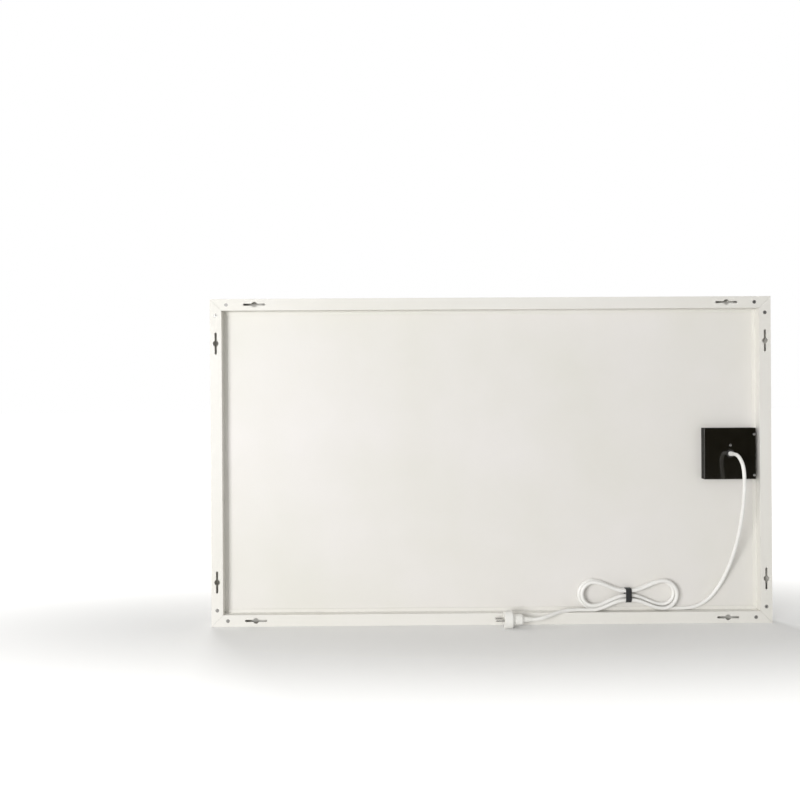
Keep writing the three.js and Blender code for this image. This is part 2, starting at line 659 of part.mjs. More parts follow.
// From the terminal block, a lead turns through the window and runs up or down its groove in the board.
function leadRoute(x, direction, endZ) {
  const { terminalDepth, terminalBottom } = WIRE_ENDS;
  const turnZ = (WINDOW_LOW + WINDOW_HIGH) / 2 - 0.8;
  return [
    [x, terminalDepth, terminalBottom],
    [x, terminalDepth - 0.2, terminalBottom - 3],
    [x, BOX_INNER_FLOOR + 1.6, turnZ + 1],
    [x, BACK[1], turnZ],
    [x, WIRE_DEPTH + 3.2, turnZ + direction * 0.6],
    [x, WIRE_DEPTH + 0.6, turnZ + direction * 3.4],
    [x, WIRE_DEPTH, turnZ + direction * 7],
    [x, WIRE_DEPTH, turnZ + direction * 20],
    [x, WIRE_DEPTH, endZ],
  ];
}

const CUTOUT_REACH = CUTOUT_DIAMETER / 2 + ROUND_GAP;
const WIRES = [
  { name: "core_live", route: coreRoute(-1, LIVE_X), finish: FINISH.brownWire },
  { name: "core_neutral", route: coreRoute(1, NEUTRAL_X), finish: FINISH.blueWire },
  { name: "core_earth", route: earthRoute(), finish: FINISH.greenWire },
  { name: "live_lead_lower", route: leadRoute(LIVE_X, 1, CUTOUT_Z - CUTOUT_REACH), finish: FINISH.brownWire },
  {
    name: "live_lead_upper",
    route: [[LIVE_X, WIRE_DEPTH, CUTOUT_Z + CUTOUT_REACH], [LIVE_X, WIRE_DEPTH, BAR_TOP_Z[1] - 1]],
    finish: FINISH.brownWire,
  },
  { name: "neutral_lead", route: leadRoute(NEUTRAL_X, -1, BAR_BOTTOM_Z[0] + 1), finish: FINISH.blueWire },
];
const WIRE_SIDES = 8;
for (const { name, route, finish } of WIRES) {
  const points = route.map(([x, depth, z]) => new THREE.Vector3(x, behind(depth), z));
  heater.add(piece(name, tube(points, WIRE_DIAMETER, WIRE_SIDES, WIRE_DIAMETER * 2), finish));
}

// ---- Mains lead ----

const SHELF_Z = FLANGE_WIDTH + ROUND_GAP + CORD_RADIUS;
const HANK_FIRST_LAYER_Y = behind(LEDGE[1]) + ROUND_GAP + CORD_RADIUS;

// The hank is a long fold. Its turns spiral in through the first layer and out again through the second,
// so a strand's offset from the innermost fold depends only on how far it is from the turning point.
const RUN_SHARE = RUN_STEPS / LOOP_STEPS;
const HANK_END = HANK_TURNS + RUN_SHARE;
const HANK_MIDDLE = HANK_END / 2;
const HANK_SOFTEN = 0.1;
const hankOffset = (turn) => Math.hypot(turn - HANK_MIDDLE, HANK_SOFTEN);
const HANK_AXIS_Z = SHELF_Z + HANK_FOLD_RADIUS + hankOffset(0) * HANK_PITCH;
const smooth = (share) => share * share * (3 - 2 * share);

// Half the width of the fold at a distance along it from the tie. It is even under the tie.
function hankHalfWidth(along, offset) {
  const waist = HANK_WAIST_HALF + offset * HANK_WAIST_PITCH;
  const fold = HANK_FOLD_RADIUS + offset * HANK_PITCH;
  const beyondWaist = Math.abs(along) - WAIST_LENGTH / 2;
  return waist + (fold - waist) * smooth(Math.max(0, beyondWaist / (HANK_RUN / 2 - WAIST_LENGTH / 2)));
}

// How far along its run a strand is, from a share of the run. The middle step spans the waist.
function alongRun(share) {
  const step = 1 / RUN_STEPS;
  const fromMiddle = share - 0.5;
  const beyondWaist = Math.max(0, Math.abs(fromMiddle) - step / 2) / (0.5 - step / 2);
  const inWaist = Math.min(1, Math.abs(fromMiddle) / (step / 2));
  return (Math.sign(fromMiddle) * (inWaist * WAIST_LENGTH + beyondWaist * (HANK_RUN - WAIST_LENGTH))) / 2;
}

// The strand climbs from the first layer to the second along the run where the spiral reverses.
function hankLayerY(turn) {
  const share = (turn - (HANK_MIDDLE - RUN_SHARE / 2)) / RUN_SHARE;
  return HANK_FIRST_LAYER_Y + HANK_LAYER * smooth(Math.min(1, Math.max(0, share)));
}

// The centre of the cord after a number of turns. A turn is the lower run towards +X, the fold at that
// end, the upper run back, and the fold at the other end. Before the first turn and after the last, the
// cord is straight.
function hankPoint(turn) {
  const half = HANK_RUN / 2;
  if (turn < 0 || turn > HANK_END) {
    const [edge, side, past] = turn < 0 ? [0, -1, turn] : [HANK_END, 1, turn - HANK_END];
    const x = side * half + past * CORD_DIAMETER;
    return new THREE.Vector3(HANK_CENTRE_X + x, hankLayerY(edge), HANK_AXIS_Z - hankHalfWidth(half, hankOffset(edge)));
  }
  const offset = hankOffset(turn);
  const [phase, side] = turn % 1 < 0.5 ? [turn % 1, 1] : [(turn % 1) - 0.5, -1];
  const radius = HANK_FOLD_RADIUS + offset * HANK_PITCH;
  let [x, z] = [0, 0];
  if (phase <= RUN_SHARE) {
    x = alongRun(phase / RUN_SHARE);
    z = -hankHalfWidth(x, offset);
  } else {
    const angle = (Math.PI * (phase - RUN_SHARE)) / (0.5 - RUN_SHARE) - Math.PI / 2;
    x = half + radius * Math.cos(angle);
    z = radius * Math.sin(angle);
  }
  return new THREE.Vector3(HANK_CENTRE_X + side * x, hankLayerY(turn), HANK_AXIS_Z + side * z);
}

// A path that keeps exactly the points it is given, so that the corners of neighbouring turns line up.
class PointPath extends THREE.Curve {
  constructor(points) {
    super();
    this.points = points;
  }

  getPoint(share) {
    const place = share * (this.points.length - 1);
    const first = Math.min(Math.floor(place), this.points.length - 2);
    return this.points[first].clone().lerp(this.points[first + 1], place - first);
  }

  getPointAt(share) {
    return this.getPoint(share);
  }

  getTangentAt(share) {
    return this.getTangent(share);
  }
}

// The least space between the cord's surface and itself, measured between points of the route that are
// at least three diameters apart along it.
function leastGap(point, end, steps, diameter) {
  const points = [];
  const along = [];
  for (let i = 0; i <= steps; i += 1) {
    points.push(point((end * i) / steps));
    along.push(i === 0 ? 0 : along[i - 1] + points[i].distanceTo(points[i - 1]));
  }
  let least = Infinity;
  for (let i = 0; i < points.length; i += 1) {
    for (let j = i + 1; j < points.length; j += 1) {
      if (along[j] - along[i] > 3 * diameter) least = Math.min(least, points[i].distanceTo(points[j]));
    }
  }
  return least - diameter;
}

const hankTurns = [-1];
const hankSteps = HANK_TURNS * LOOP_STEPS + RUN_STEPS;
for (let i = 0; i <= hankSteps; i += 1) hankTurns.push(i / LOOP_STEPS);
hankTurns.push(HANK_END + 1);
const hankPath = new PointPath(hankTurns.map(hankPoint));
const hankGeometry = new THREE.ExtrudeGeometry(roundSection(CORD_DIAMETER, 6), {
  extrudePath: hankPath,
  steps: hankTurns.length - 1,
  bevelEnabled: false,
});
heater.add(piece("cord_hank", hankGeometry, FINISH.whiteCord));
console.log(`hank's least gap to itself: ${leastGap(hankPoint, HANK_END, 2400, CORD_DIAMETER).toFixed(2)} mm`);
console.log(`hank's length: ${new THREE.CatmullRomCurve3(hankPath.points).getLength().toFixed(0)} mm`);

// Straight out of the strain relief, over in an arc of four diameters' radius, down behind the panel and
// back into the tray, then along the bottom rail to the hank. The first and last points meet neighbours.
const LEAD_MIDDLE = [
  [-513.2, 48.1, 361.4],
  [-513.8, 57, 356.8],
  [-514.8, 64.2, 349.5],
  [-516, 68.7, 340.3],
  [-517.2, 70, 329],
  [-518.6, 68.6, 308],
  [-519.6, 64.6, 283],
  [-520, 58.4, 255],
  [-519.6, 50.4, 226],
  [-518.2, 41.4, 197],
  [-515.6, 32, 168.5],
  [-511.4, 22.8, 141],
  [-505, 14.6, 114.5],
  [-496.2, 8.2, 90],
  [-484.6, 4.2, 68.5],
  [-470.4, 2.4, 51],
  [-454, 1.8, 38.8],
  [-436.5, 1.8, 31.8],
];
const hankStart = hankPoint(-1);
const hankExit = hankPoint(HANK_END + 1);
const leadPoints = [
  new THREE.Vector3(BOX_CENTRE_X, RELIEF_TIP_Y + ROUND_GAP, BOX_CENTRE_Z),
  new THREE.Vector3(BOX_CENTRE_X, RELIEF_TIP_Y + ROUND_GAP + CORD_DIAMETER, BOX_CENTRE_Z),
  ...LEAD_MIDDLE.map((point) => new THREE.Vector3(...point)),
  new THREE.Vector3(-418, hankStart.y, hankStart.z + 0.3),
  new THREE.Vector3(hankStart.x - ROUND_GAP - CORD_DIAMETER, hankStart.y, hankStart.z),
  new THREE.Vector3(hankStart.x - ROUND_GAP, hankStart.y, hankStart.z),
];
heater.add(piece("cord_lead", tube(leadPoints, CORD_DIAMETER, CORD_SIDES, CORD_STEP), FINISH.whiteCord));

// From the hank, along the rail and over its rear edge to the plug on the floor.
const PLUG_AXIS_Z = PLUG_FLAT / 2;
const TAIL_MIDDLE = [
  [-180, 11.4, 29.3],
  [-164, 15.2, 29.4],
  [-149, 21.2, 29],
  [-134.5, 28.4, 27.4],
  [-120, 35, 24.2],
  [-105, 39.4, 20.6],
];
const tailPoints = [
  new THREE.Vector3(hankExit.x + ROUND_GAP, hankExit.y, hankExit.z),
  new THREE.Vector3(hankExit.x + ROUND_GAP + CORD_DIAMETER, hankExit.y, hankExit.z),
  ...TAIL_MIDDLE.map((point) => new THREE.Vector3(...point)),
  new THREE.Vector3(PLUG_ENTRY[0] - ROUND_GAP - CORD_DIAMETER, PLUG_ENTRY[1], PLUG_AXIS_Z),
  new THREE.Vector3(PLUG_ENTRY[0] - ROUND_GAP, PLUG_ENTRY[1], PLUG_AXIS_Z),
];
heater.add(piece("cord_tail", tube(tailPoints, CORD_DIAMETER, CORD_SIDES, CORD_STEP), FINISH.whiteCord));

// ---- Hank tie ----

// A flat strap round the strands at the waist, [lowest, highest] on each axis of its opening.
function tieGeometry() {
  const reach = CORD_RADIUS + ROUND_GAP;
  const waistStart = (RUN_SHARE * (RUN_STEPS - 1)) / (2 * RUN_STEPS);
  const lowest = hankHalfWidth(0, hankOffset(waistStart)) + reach;
  const highest = hankHalfWidth(0, hankOffset(0.5 + waistStart)) + reach;
  const y = [HANK_FIRST_LAYER_Y - reach, HANK_FIRST_LAYER_Y + HANK_LAYER + reach];
  const z = [HANK_AXIS_Z - lowest, HANK_AXIS_Z + highest];
  const x = [HANK_CENTRE_X - TIE_WIDTH / 2, HANK_CENTRE_X + TIE_WIDTH / 2];
  const grow = ([low, high], by) => [low - by, high + by];
  return cut(block(x, grow(y, TIE_THICKNESS), grow(z, TIE_THICKNESS)), [block(grow(x, CUT_OVER), y, z)]);
}
heater.add(piece("hank_tie", tieGeometry(), FINISH.blackRubber));

// ---- Plug ----

// The plug is made along +Y and then laid along +X. Its pins stand side by side on the floor's level, and
// its earth contacts lie in notches in the flats above and below.
const plug = new THREE.Group();
plug.position.set(PLUG_ENTRY[0], PLUG_ENTRY[1], PLUG_AXIS_Z);
plug.rotation.z = -Math.PI / 2;
heater.add(plug);

const NOTCH_DEPTH = ROUND_GAP + CONTACT_THICKNESS + ROUND_GAP;

function plugBodyGeometry() {
  const radius = PLUG_HEAD / 2;
  const body = turned([
    [0, 0],
    [4.4, 0],
    [6.2, 17],
    [10.5, 20],
    [12, 27],
    [11.6, 34],
    [radius - 1.5, 41],
    [radius, 43],
    [radius, PLUG_LENGTH - 1],
    [radius - 1, PLUG_LENGTH],
    [0, PLUG_LENGTH],
  ], 32);
  const tools = [];
  for (const side of [-1, 1]) {
    const flat = side * (PLUG_FLAT / 2);
    const past = side * (radius + CUT_OVER);
    const notch = side * (PLUG_FLAT / 2 - NOTCH_DEPTH);
    const order = (a, b) => [Math.min(a, b), Math.max(a, b)];
    tools.push(block([-radius, radius], [-CUT_OVER, PLUG_LENGTH + CUT_OVER], order(flat, past)));
    const halfNotch = CONTACT_WIDTH / 2 + ROUND_GAP;
    const notchY = [PLUG_LENGTH - CONTACT_LENGTH - 2 * ROUND_GAP, PLUG_LENGTH + CUT_OVER];
    tools.push(block([-halfNotch, halfNotch], notchY, order(notch, past)));
  }
  return cut(body, tools);
}
plug.add(piece("plug_body", plugBodyGeometry(), FINISH.whitePlug));

function plugPinGeometry() {
  const radius = PIN_DIAMETER / 2;
  return turned([
    [0, SEAT_GAP],
    [radius, SEAT_GAP],
    [radius, PIN_LENGTH - 1.6],
    [radius - 0.5, PIN_LENGTH - 0.5],
    [radius - 1.4, PIN_LENGTH],
    [0, PIN_LENGTH],
  ], 16);
}
["plug_pin_front", "plug_pin_rear"].forEach((name, i) => {
  const plugPin = piece(name, plugPinGeometry(), FINISH.nickel);
  plugPin.position.set((0.5 - i) * PIN_SPACING, PLUG_LENGTH, 0);
  plug.add(plugPin);
});

const CONTACTS = [
  { name: "plug_earth_contact_lower", side: -1 },
  { name: "plug_earth_contact_upper", side: 1 },
];
for (const { name, side } of CONTACTS) {
  const middle = side * (PLUG_FLAT / 2 - NOTCH_DEPTH + ROUND_GAP + CONTACT_THICKNESS / 2);
  const z = [middle - CONTACT_THICKNESS / 2, middle + CONTACT_THICKNESS / 2];
  const y = [PLUG_LENGTH - CONTACT_LENGTH - ROUND_GAP, PLUG_LENGTH - ROUND_GAP];
  plug.add(piece(name, block([-CONTACT_WIDTH / 2, CONTACT_WIDTH / 2], y, z), FINISH.nickel));
}

export default heater;
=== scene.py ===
"""Looks of an infrared panel heater: a white radiant panel in a mitred frame with an open back.

Everything is in metres. The panel stands on its lower long edge, its warm face looks along -Y and
its open back along +Y. Places come from the frame's nodes, and lengths are written in millimetres
times MM.
"""

import json
import logging
import math
from collections.abc import Iterable, Sequence
from dataclasses import dataclass, field
from enum import Enum

import bmesh
import bpy
from mathutils import Matrix, Vector


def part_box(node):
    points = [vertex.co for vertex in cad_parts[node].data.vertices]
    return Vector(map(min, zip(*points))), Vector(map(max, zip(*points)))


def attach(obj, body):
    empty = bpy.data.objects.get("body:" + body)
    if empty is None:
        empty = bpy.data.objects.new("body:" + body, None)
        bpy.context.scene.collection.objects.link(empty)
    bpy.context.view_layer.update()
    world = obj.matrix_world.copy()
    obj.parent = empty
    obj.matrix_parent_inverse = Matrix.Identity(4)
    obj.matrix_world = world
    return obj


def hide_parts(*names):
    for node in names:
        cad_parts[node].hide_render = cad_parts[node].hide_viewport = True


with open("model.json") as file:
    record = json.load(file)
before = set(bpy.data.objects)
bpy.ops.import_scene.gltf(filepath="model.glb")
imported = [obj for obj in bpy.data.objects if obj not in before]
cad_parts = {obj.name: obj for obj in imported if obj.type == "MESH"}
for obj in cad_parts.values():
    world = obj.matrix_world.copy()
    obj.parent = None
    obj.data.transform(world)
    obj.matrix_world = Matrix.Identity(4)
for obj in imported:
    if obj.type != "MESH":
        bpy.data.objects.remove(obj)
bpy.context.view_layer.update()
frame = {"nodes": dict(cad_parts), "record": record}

MM = 0.001
BODY = "root"
# Vertices nearer than this are one.
MERGE = 0.002 * MM
# An edge between faces that meet at a wider angle than this stays sharp.
SMOOTH_ANGLE = math.radians(32)
# Faces that meet at a smaller angle than this are one flat face.
FLAT_ANGLE = math.radians(1)
# Nearly all of a noise lies between these two values.
NOISE_LOW, NOISE_HIGH = 0.3, 0.7
# How many finer octaves soft patches have.
SOFT_DETAIL = 2.0
# A wave of scale 1 repeats every so many metres.
WAVE_LENGTH = math.pi / 10
# A colour Mix node has sockets of the same name for each data type, so they go by number.
MIX_FIRST, MIX_SECOND, MIX_RESULT = 6, 7, 2
Socket = bpy.types.NodeSocket
Inputs = dict[str | int, object]
Tones = tuple[str, str]
Pair = tuple[float, float]
Triple = tuple[float, float, float]
log = logging.getLogger("heater")


# ---- Small tools ----


def linear(code: str) -> tuple[float, float, float, float]:
    """Turns an sRGB hex colour into the linear colour that a shader takes.

    Args:
        code: Six hex digits, with or without a leading hash.

    Returns:
        Linear red, green, blue and an alpha of 1.
    """
    digits = code.lstrip("#")
    shares = [int(digits[i : i + 2], 16) / 255 for i in (0, 2, 4)]
    # The sRGB curve is straight near black, and a power above that.
    red, green, blue = (s / 12.92 if s <= 0.04045 else ((s + 0.055) / 1.055) ** 2.4 for s in shares)
    return red, green, blue, 1.0


def add_node(
    tree: bpy.types.NodeTree,
    kind: str,
    settings: dict[str, object] | None = None,
    inputs: Inputs | None = None,
) -> bpy.types.Node:
    """Adds a shader node with its settings and links.

    Args:
        tree: The tree that the node joins.
        kind: The node's type name.
        settings: The node's own properties.
        inputs: For each input socket, by name or number, its value or the output that feeds it.

    Returns:
        The new node.
    """
    node = tree.nodes.new(kind)
    for name, value in (settings or {}).items():
        setattr(node, name, value)
    for name, value in (inputs or {}).items():
        if isinstance(value, Socket):
            tree.links.new(value, node.inputs[name])
        else:
            node.inputs[name].default_value = value
    return node


def new_material(name: str) -> tuple[bpy.types.Material, bpy.types.NodeTree]:
    """Makes an empty material.

    Args:
        name: The material's name.

    Returns:
        The material and its node tree.
    """
    material = bpy.data.materials.new(name)
    material.use_nodes = True
    material.node_tree.nodes.clear()
    return material, material.node_tree


# ---- Finishes ----


@dataclass(frozen=True)
class Finish:
    """What a surface is made of, and how that was made.

    Its patterns lie on Object coordinates, in metres.
    """

    name: str

    def build(self) -> bpy.types.Material:
        """Makes the material.

        Returns:
            The material, with the finish's patterns on one Principled shader.
        """
        material, tree = new_material(self.name)
        place = add_node(tree, "ShaderNodeTexCoord").outputs["Object"]
        shader = add_node(tree, "ShaderNodeBsdfPrincipled", inputs=self.patterns(tree, place))
        add_node(tree, "ShaderNodeOutputMaterial", inputs={"Surface": shader.outputs["BSDF"]})
        return material

    def patterns(self, tree: bpy.types.NodeTree, place: Socket) -> Inputs:
        """Adds the finish's patterns.

        Args:
            tree: The material's node tree.
            place: The Object coordinates.

        Returns:
            The shader's values and links.
        """
        raise NotImplementedError(self.name)

    @staticmethod
    def uneven(
        tree: bpy.types.NodeTree,
        place: Socket,
        patch: float,
        ends: Pair,
        detail: float = SOFT_DETAIL,
    ) -> Socket:
        """Lets a value wander between two ends in soft patches.

        Args:
            tree: The material's node tree.
            place: The pattern's coordinates.
            patch: The size of a patch, in metres.
            ends: The two ends.
            detail: How many finer octaves the patches have.

        Returns:
            The value.
        """
        patches = add_node(tree, "ShaderNodeTexNoise", inputs={
            "Vector": place, "Scale": 1 / patch, "Detail": detail,
        })
        wide = add_node(tree, "ShaderNodeMapRange", inputs={
            "Value": patches.outputs["Fac"], "From Min": NOISE_LOW, "From Max": NOISE_HIGH,
            "To Min": ends[0], "To Max": ends[1],
        })
        return wide.outputs["Result"]

    @classmethod
    def mottled(
        cls, tree: bpy.types.NodeTree, place: Socket, patch: float, tones: Tones, detail: float
    ) -> Socket:
        """Lays two tones beside each other in soft patches.

        Args:
            tree: The material's node tree.
            place: The pattern's coordinates.
            patch: The size of a patch, in metres.
            tones: The two tones.
            detail: How many finer octaves the patches have.

        Returns:
            The colour.
        """
        share = cls.uneven(tree, place, patch, (0.0, 1.0), detail)
        first, second = map(linear, tones)
        mix = add_node(tree, "ShaderNodeMix", {"data_type": "RGBA"}, {
            "Factor": share, MIX_FIRST: first, MIX_SECOND: second,
        })
        return mix.outputs[MIX_RESULT]

    @staticmethod
    def grained(
        tree: bpy.types.NodeTree,
        place: Socket,
        grain: float,
        depth: float,
        detail: float = SOFT_DETAIL,
    ) -> Socket:
        """Roughens a surface with a soft grain.

        Args:
            tree: The material's node tree.
            place: The pattern's coordinates.
            grain: The size of a grain, in metres.
            depth: The grain's depth, in metres.
            detail: How many finer octaves the grain has.

        Returns:
            The normal.
        """
        height = add_node(tree, "ShaderNodeTexNoise", inputs={
            "Vector": place, "Scale": 1 / grain, "Detail": detail,
        })
        bump = add_node(tree, "ShaderNodeBump", inputs={
            "Height": height.outputs["Fac"], "Distance": depth, "Strength": 1.0,
        })
        return bump.outputs["Normal"]


@dataclass(frozen=True)
class PowderCoat(Finish):
    """Polyester powder coat, sprayed on aluminium or steel and baked.

    It gives the eye a satin white that is faintly cloudy, with orange peel that softens its
    highlights. The peel of a real coat is about 1.5 mm across and 0.02 mm deep. It is drawn wider
    and deeper, or it wouldn't show.
    """

    tones: Tones
    roughness: float = 0.42
    peel: float = 3.0 * MM
    peel_depth: float = 0.1 * MM
    cloud: float = 260 * MM
    cloud_detail: float = 3.0
    sheen_patch: float = 40 * MM
    sheen_range: float = 0.04
    ior: float = 1.5

    def patterns(self, tree: bpy.types.NodeTree, place: Socket) -> Inputs:
        """Adds the clouds, the uneven gloss and the peel.

        Args:
            tree: The material's node tree.
            place: The Object coordinates.

        Returns:
            The shader's values and links.
        """
        gloss = (self.roughness - self.sheen_range, self.roughness + self.sheen_range)
        return {
            "Base Color": self.mottled(tree, place, self.cloud, self.tones, self.cloud_detail),
            "Roughness": self.uneven(tree, place, self.sheen_patch, gloss),
            "Normal": self.grained(tree, place, self.peel, self.peel_depth),
            "IOR": self.ior,
        }


@dataclass(frozen=True)
class Moulded(Finish):
    """Moulded plastic or rubber, extruded PVC or pressed ceramic, as its tool left it.

    It gives the eye an even colour, a gloss that varies a little, and a fine grain or a slow
    waviness. The grain of a real tool is about 0.1 mm across, too fine to show, so it is drawn
    coarser.
    """

    tones: Tones
    roughness: float
    grain: float = 1.2 * MM
    grain_depth: float = 0.01 * MM
    ior: float = 1.5
    tone_patch: float = 25 * MM
    tone_detail: float = 4.0
    sheen_patch: float = 9 * MM
    sheen_share: float = 0.15

    def patterns(self, tree: bpy.types.NodeTree, place: Socket) -> Inputs:
        """Adds the tones, the uneven gloss and the grain.

        Args:
            tree: The material's node tree.
            place: The Object coordinates.

        Returns:
            The shader's values and links.
        """
        gloss = (self.roughness * (1 - self.sheen_share), self.roughness * (1 + self.sheen_share))
        return {
            "Base Color": self.mottled(tree, place, self.tone_patch, self.tones, self.tone_detail),
            "Roughness": self.uneven(tree, place, self.sheen_patch, gloss),
            "Normal": self.grained(tree, place, self.grain, self.grain_depth),
            "IOR": self.ior,
        }


@dataclass(frozen=True)
class BareMetal(Finish):
    """Plated, rolled or turned metal.

    It gives the eye a clear metal reflection, blurred by a grain that is stretched the way it was
    worked. Real scratches are some 0.05 mm apart, too fine to show, so they are drawn coarser. The
    density says how close the grain lies along X, Y and Z, where 1 is unstretched.
    """

    tones: Tones
    roughness: float
    grain: float = 0.8 * MM
    grain_depth: float = 0.004 * MM
    grain_detail: float = 3.0
    density: Triple = (1.0, 1.0, 1.0)
    tone_patch: float = 6 * MM
    tone_detail: float = 4.0
    sheen_share: float = 0.22

    def patterns(self, tree: bpy.types.NodeTree, place: Socket) -> Inputs:
        """Adds the tones and the worked grain.

        Args:
            tree: The material's node tree.
            place: The Object coordinates.

        Returns:
            The shader's values and links.
        """
        gloss = (self.roughness * (1 - self.sheen_share), self.roughness * (1 + self.sheen_share))
        worked = add_node(tree, "ShaderNodeMapping", inputs={
            "Vector": place, "Scale": self.density,
        })
        along = worked.outputs["Vector"]
        return {
            "Base Color": self.mottled(tree, place, self.tone_patch, self.tones, self.tone_detail),
            "Roughness": self.uneven(tree, along, self.grain, gloss, self.grain_detail),
            "Normal": self.grained(tree, along, self.grain, self.grain_depth, self.grain_detail),
            "Metallic": 1.0,
        }


@dataclass(frozen=True)
class CrumpledFoil(Finish):
    """Aluminium foil, rolled thin and bright and pressed on by hand.

    It gives the eye bright facets about 22 mm across, with shallow creases between them.
    """

    name: str = "aluminium_foil_creased"
    colour: str = "D9DBDD"
    facet: float = 22 * MM
    crease_depth: float = 0.3 * MM
    sheen_patch: float = 12 * MM
    gloss: Pair = (0.18, 0.3)

    def patterns(self, tree: bpy.types.NodeTree, place: Socket) -> Inputs:
        """Adds the facets with their creases.

        Args:
            tree: The material's node tree.
            place: The Object coordinates.

        Returns:
            The shader's values and links.
        """
        facets = add_node(tree, "ShaderNodeTexVoronoi", {"feature": "SMOOTH_F1"}, {
            "Vector": place, "Scale": 1 / self.facet,
        })
        creases = add_node(tree, "ShaderNodeBump", inputs={
            "Height": facets.outputs["Distance"], "Distance": self.crease_depth, "Strength": 1.0,
        })
        return {
            "Base Color": linear(self.colour),
            "Roughness": self.uneven(tree, place, self.sheen_patch, self.gloss),
            "Normal": creases.outputs["Normal"],
            "Metallic": 1.0,
        }


@dataclass(frozen=True)
class MineralWool(Finish):
    """Mineral wool, spun and bonded to a board.

    It gives the eye pale yellow fibres that lie along the board, with darker spots of binder. A
    real fibre is some 0.01 mm thick, so bundles of about a millimetre are drawn, or none would
    show.
    """

    name: str = "mineral_wool_bonded"
    tones: Tones = ("CFC59B", "A6976A")
    fibre: float = 1.0 * MM
    fibre_depth: float = 0.5 * MM
    fibre_detail: float = 6.0
    density: Triple = (0.12, 1.0, 1.0)
    roughness: float = 0.95

    def patterns(self, tree: bpy.types.NodeTree, place: Socket) -> Inputs:
        """Adds the lying fibres.

        Args:
            tree: The material's node tree.
            place: The Object coordinates.

        Returns:
            The shader's values and links.
        """
        lying = add_node(tree, "ShaderNodeMapping", inputs={
            "Vector": place, "Scale": self.density,
        })
        along = lying.outputs["Vector"]
        return {
            "Base Color": self.mottled(tree, along, self.fibre, self.tones, self.fibre_detail),
            "Normal": self.grained(tree, along, self.fibre, self.fibre_depth, self.fibre_detail),
            "Roughness": self.roughness,
        }


@dataclass(frozen=True)
class CarbonPrint(Finish):
    """Carbon ink, screen-printed on polyester film.

    It gives the eye matt near-black stripes, upright and 15 mm apart, with bare film in the gaps.
    """

    name: str = "carbon_ink_print"
    ink: str = "242322"
    film: str = "5A5854"
    stripe: float = 15 * MM
    gap_start: float = 0.05
    gap_end: float = 0.12
    sheen_patch: float = 3 * MM
    gloss: Pair = (0.6, 0.8)

    def patterns(self, tree: bpy.types.NodeTree, place: Socket) -> Inputs:
        """Adds the stripes.

        Args:
            tree: The material's node tree.
            place: The Object coordinates.

        Returns:
            The shader's values and links.
        """
        bands = {"wave_type": "BANDS", "bands_direction": "X"}
        waves = add_node(tree, "ShaderNodeTexWave", bands, {
            "Vector": place, "Scale": WAVE_LENGTH / self.stripe,
        })
        gaps = add_node(tree, "ShaderNodeMapRange", inputs={
            "Value": waves.outputs["Fac"], "From Min": self.gap_start, "From Max": self.gap_end,
            "To Min": 1.0, "To Max": 0.0,
        })
        print_colour = add_node(tree, "ShaderNodeMix", {"data_type": "RGBA"}, {
            "Factor": gaps.outputs["Result"],
            MIX_FIRST: linear(self.ink),
            MIX_SECOND: linear(self.film),
        })
        return {
            "Base Color": print_colour.outputs[MIX_RESULT],
            "Roughness": self.uneven(tree, place, self.sheen_patch, self.gloss),
        }


@dataclass(frozen=True)
class HookAndLoop(Finish):
    """Woven nylon strap with a brushed loop face.

    It gives the eye a dull black pile, with tufts in rows about a millimetre apart. The gaps
    between the tufts are painted darker than their tops: painted shade, laid on the same pattern
    as the pile's bump.
    """

    name: str = "nylon_hook_and_loop"
    # The tufts' tops, and the painted shade in the gaps between them.
    tuft_top: str = "303031"
    tuft_gap_painted_shade: str = "1A1A1B"
    row: float = 1.1 * MM
    pile_depth: float = 0.35 * MM
    roughness: float = 0.9
    sheen: float = 0.25
    sheen_roughness: float = 0.5

    def patterns(self, tree: bpy.types.NodeTree, place: Socket) -> Inputs:
        """Adds the tufts.

        Args:
            tree: The material's node tree.
            place: The Object coordinates.

        Returns:
            The shader's values and links.
        """
        tufts = add_node(tree, "ShaderNodeTexVoronoi", inputs={
            "Vector": place, "Scale": 1 / self.row,
        })
        # Painted shade: the colour darkens from each tuft's top to the gaps between tufts.
        pile_colour_and_painted_shade = add_node(tree, "ShaderNodeMix", {"data_type": "RGBA"}, {
            "Factor": tufts.outputs["Distance"],
            MIX_FIRST: linear(self.tuft_top),
            MIX_SECOND: linear(self.tuft_gap_painted_shade),
        })
        pile = add_node(tree, "ShaderNodeBump", inputs={
            "Height": tufts.outputs["Distance"], "Distance": -self.pile_depth, "Strength": 1.0,
        })
        return {
            "Base Color": pile_colour_and_painted_shade.outputs[MIX_RESULT],
            "Roughness": self.roughness,
            "Sheen Weight": self.sheen,
            "Sheen Roughness": self.sheen_roughness,
            "Normal": pile.outputs["Normal"],
        }


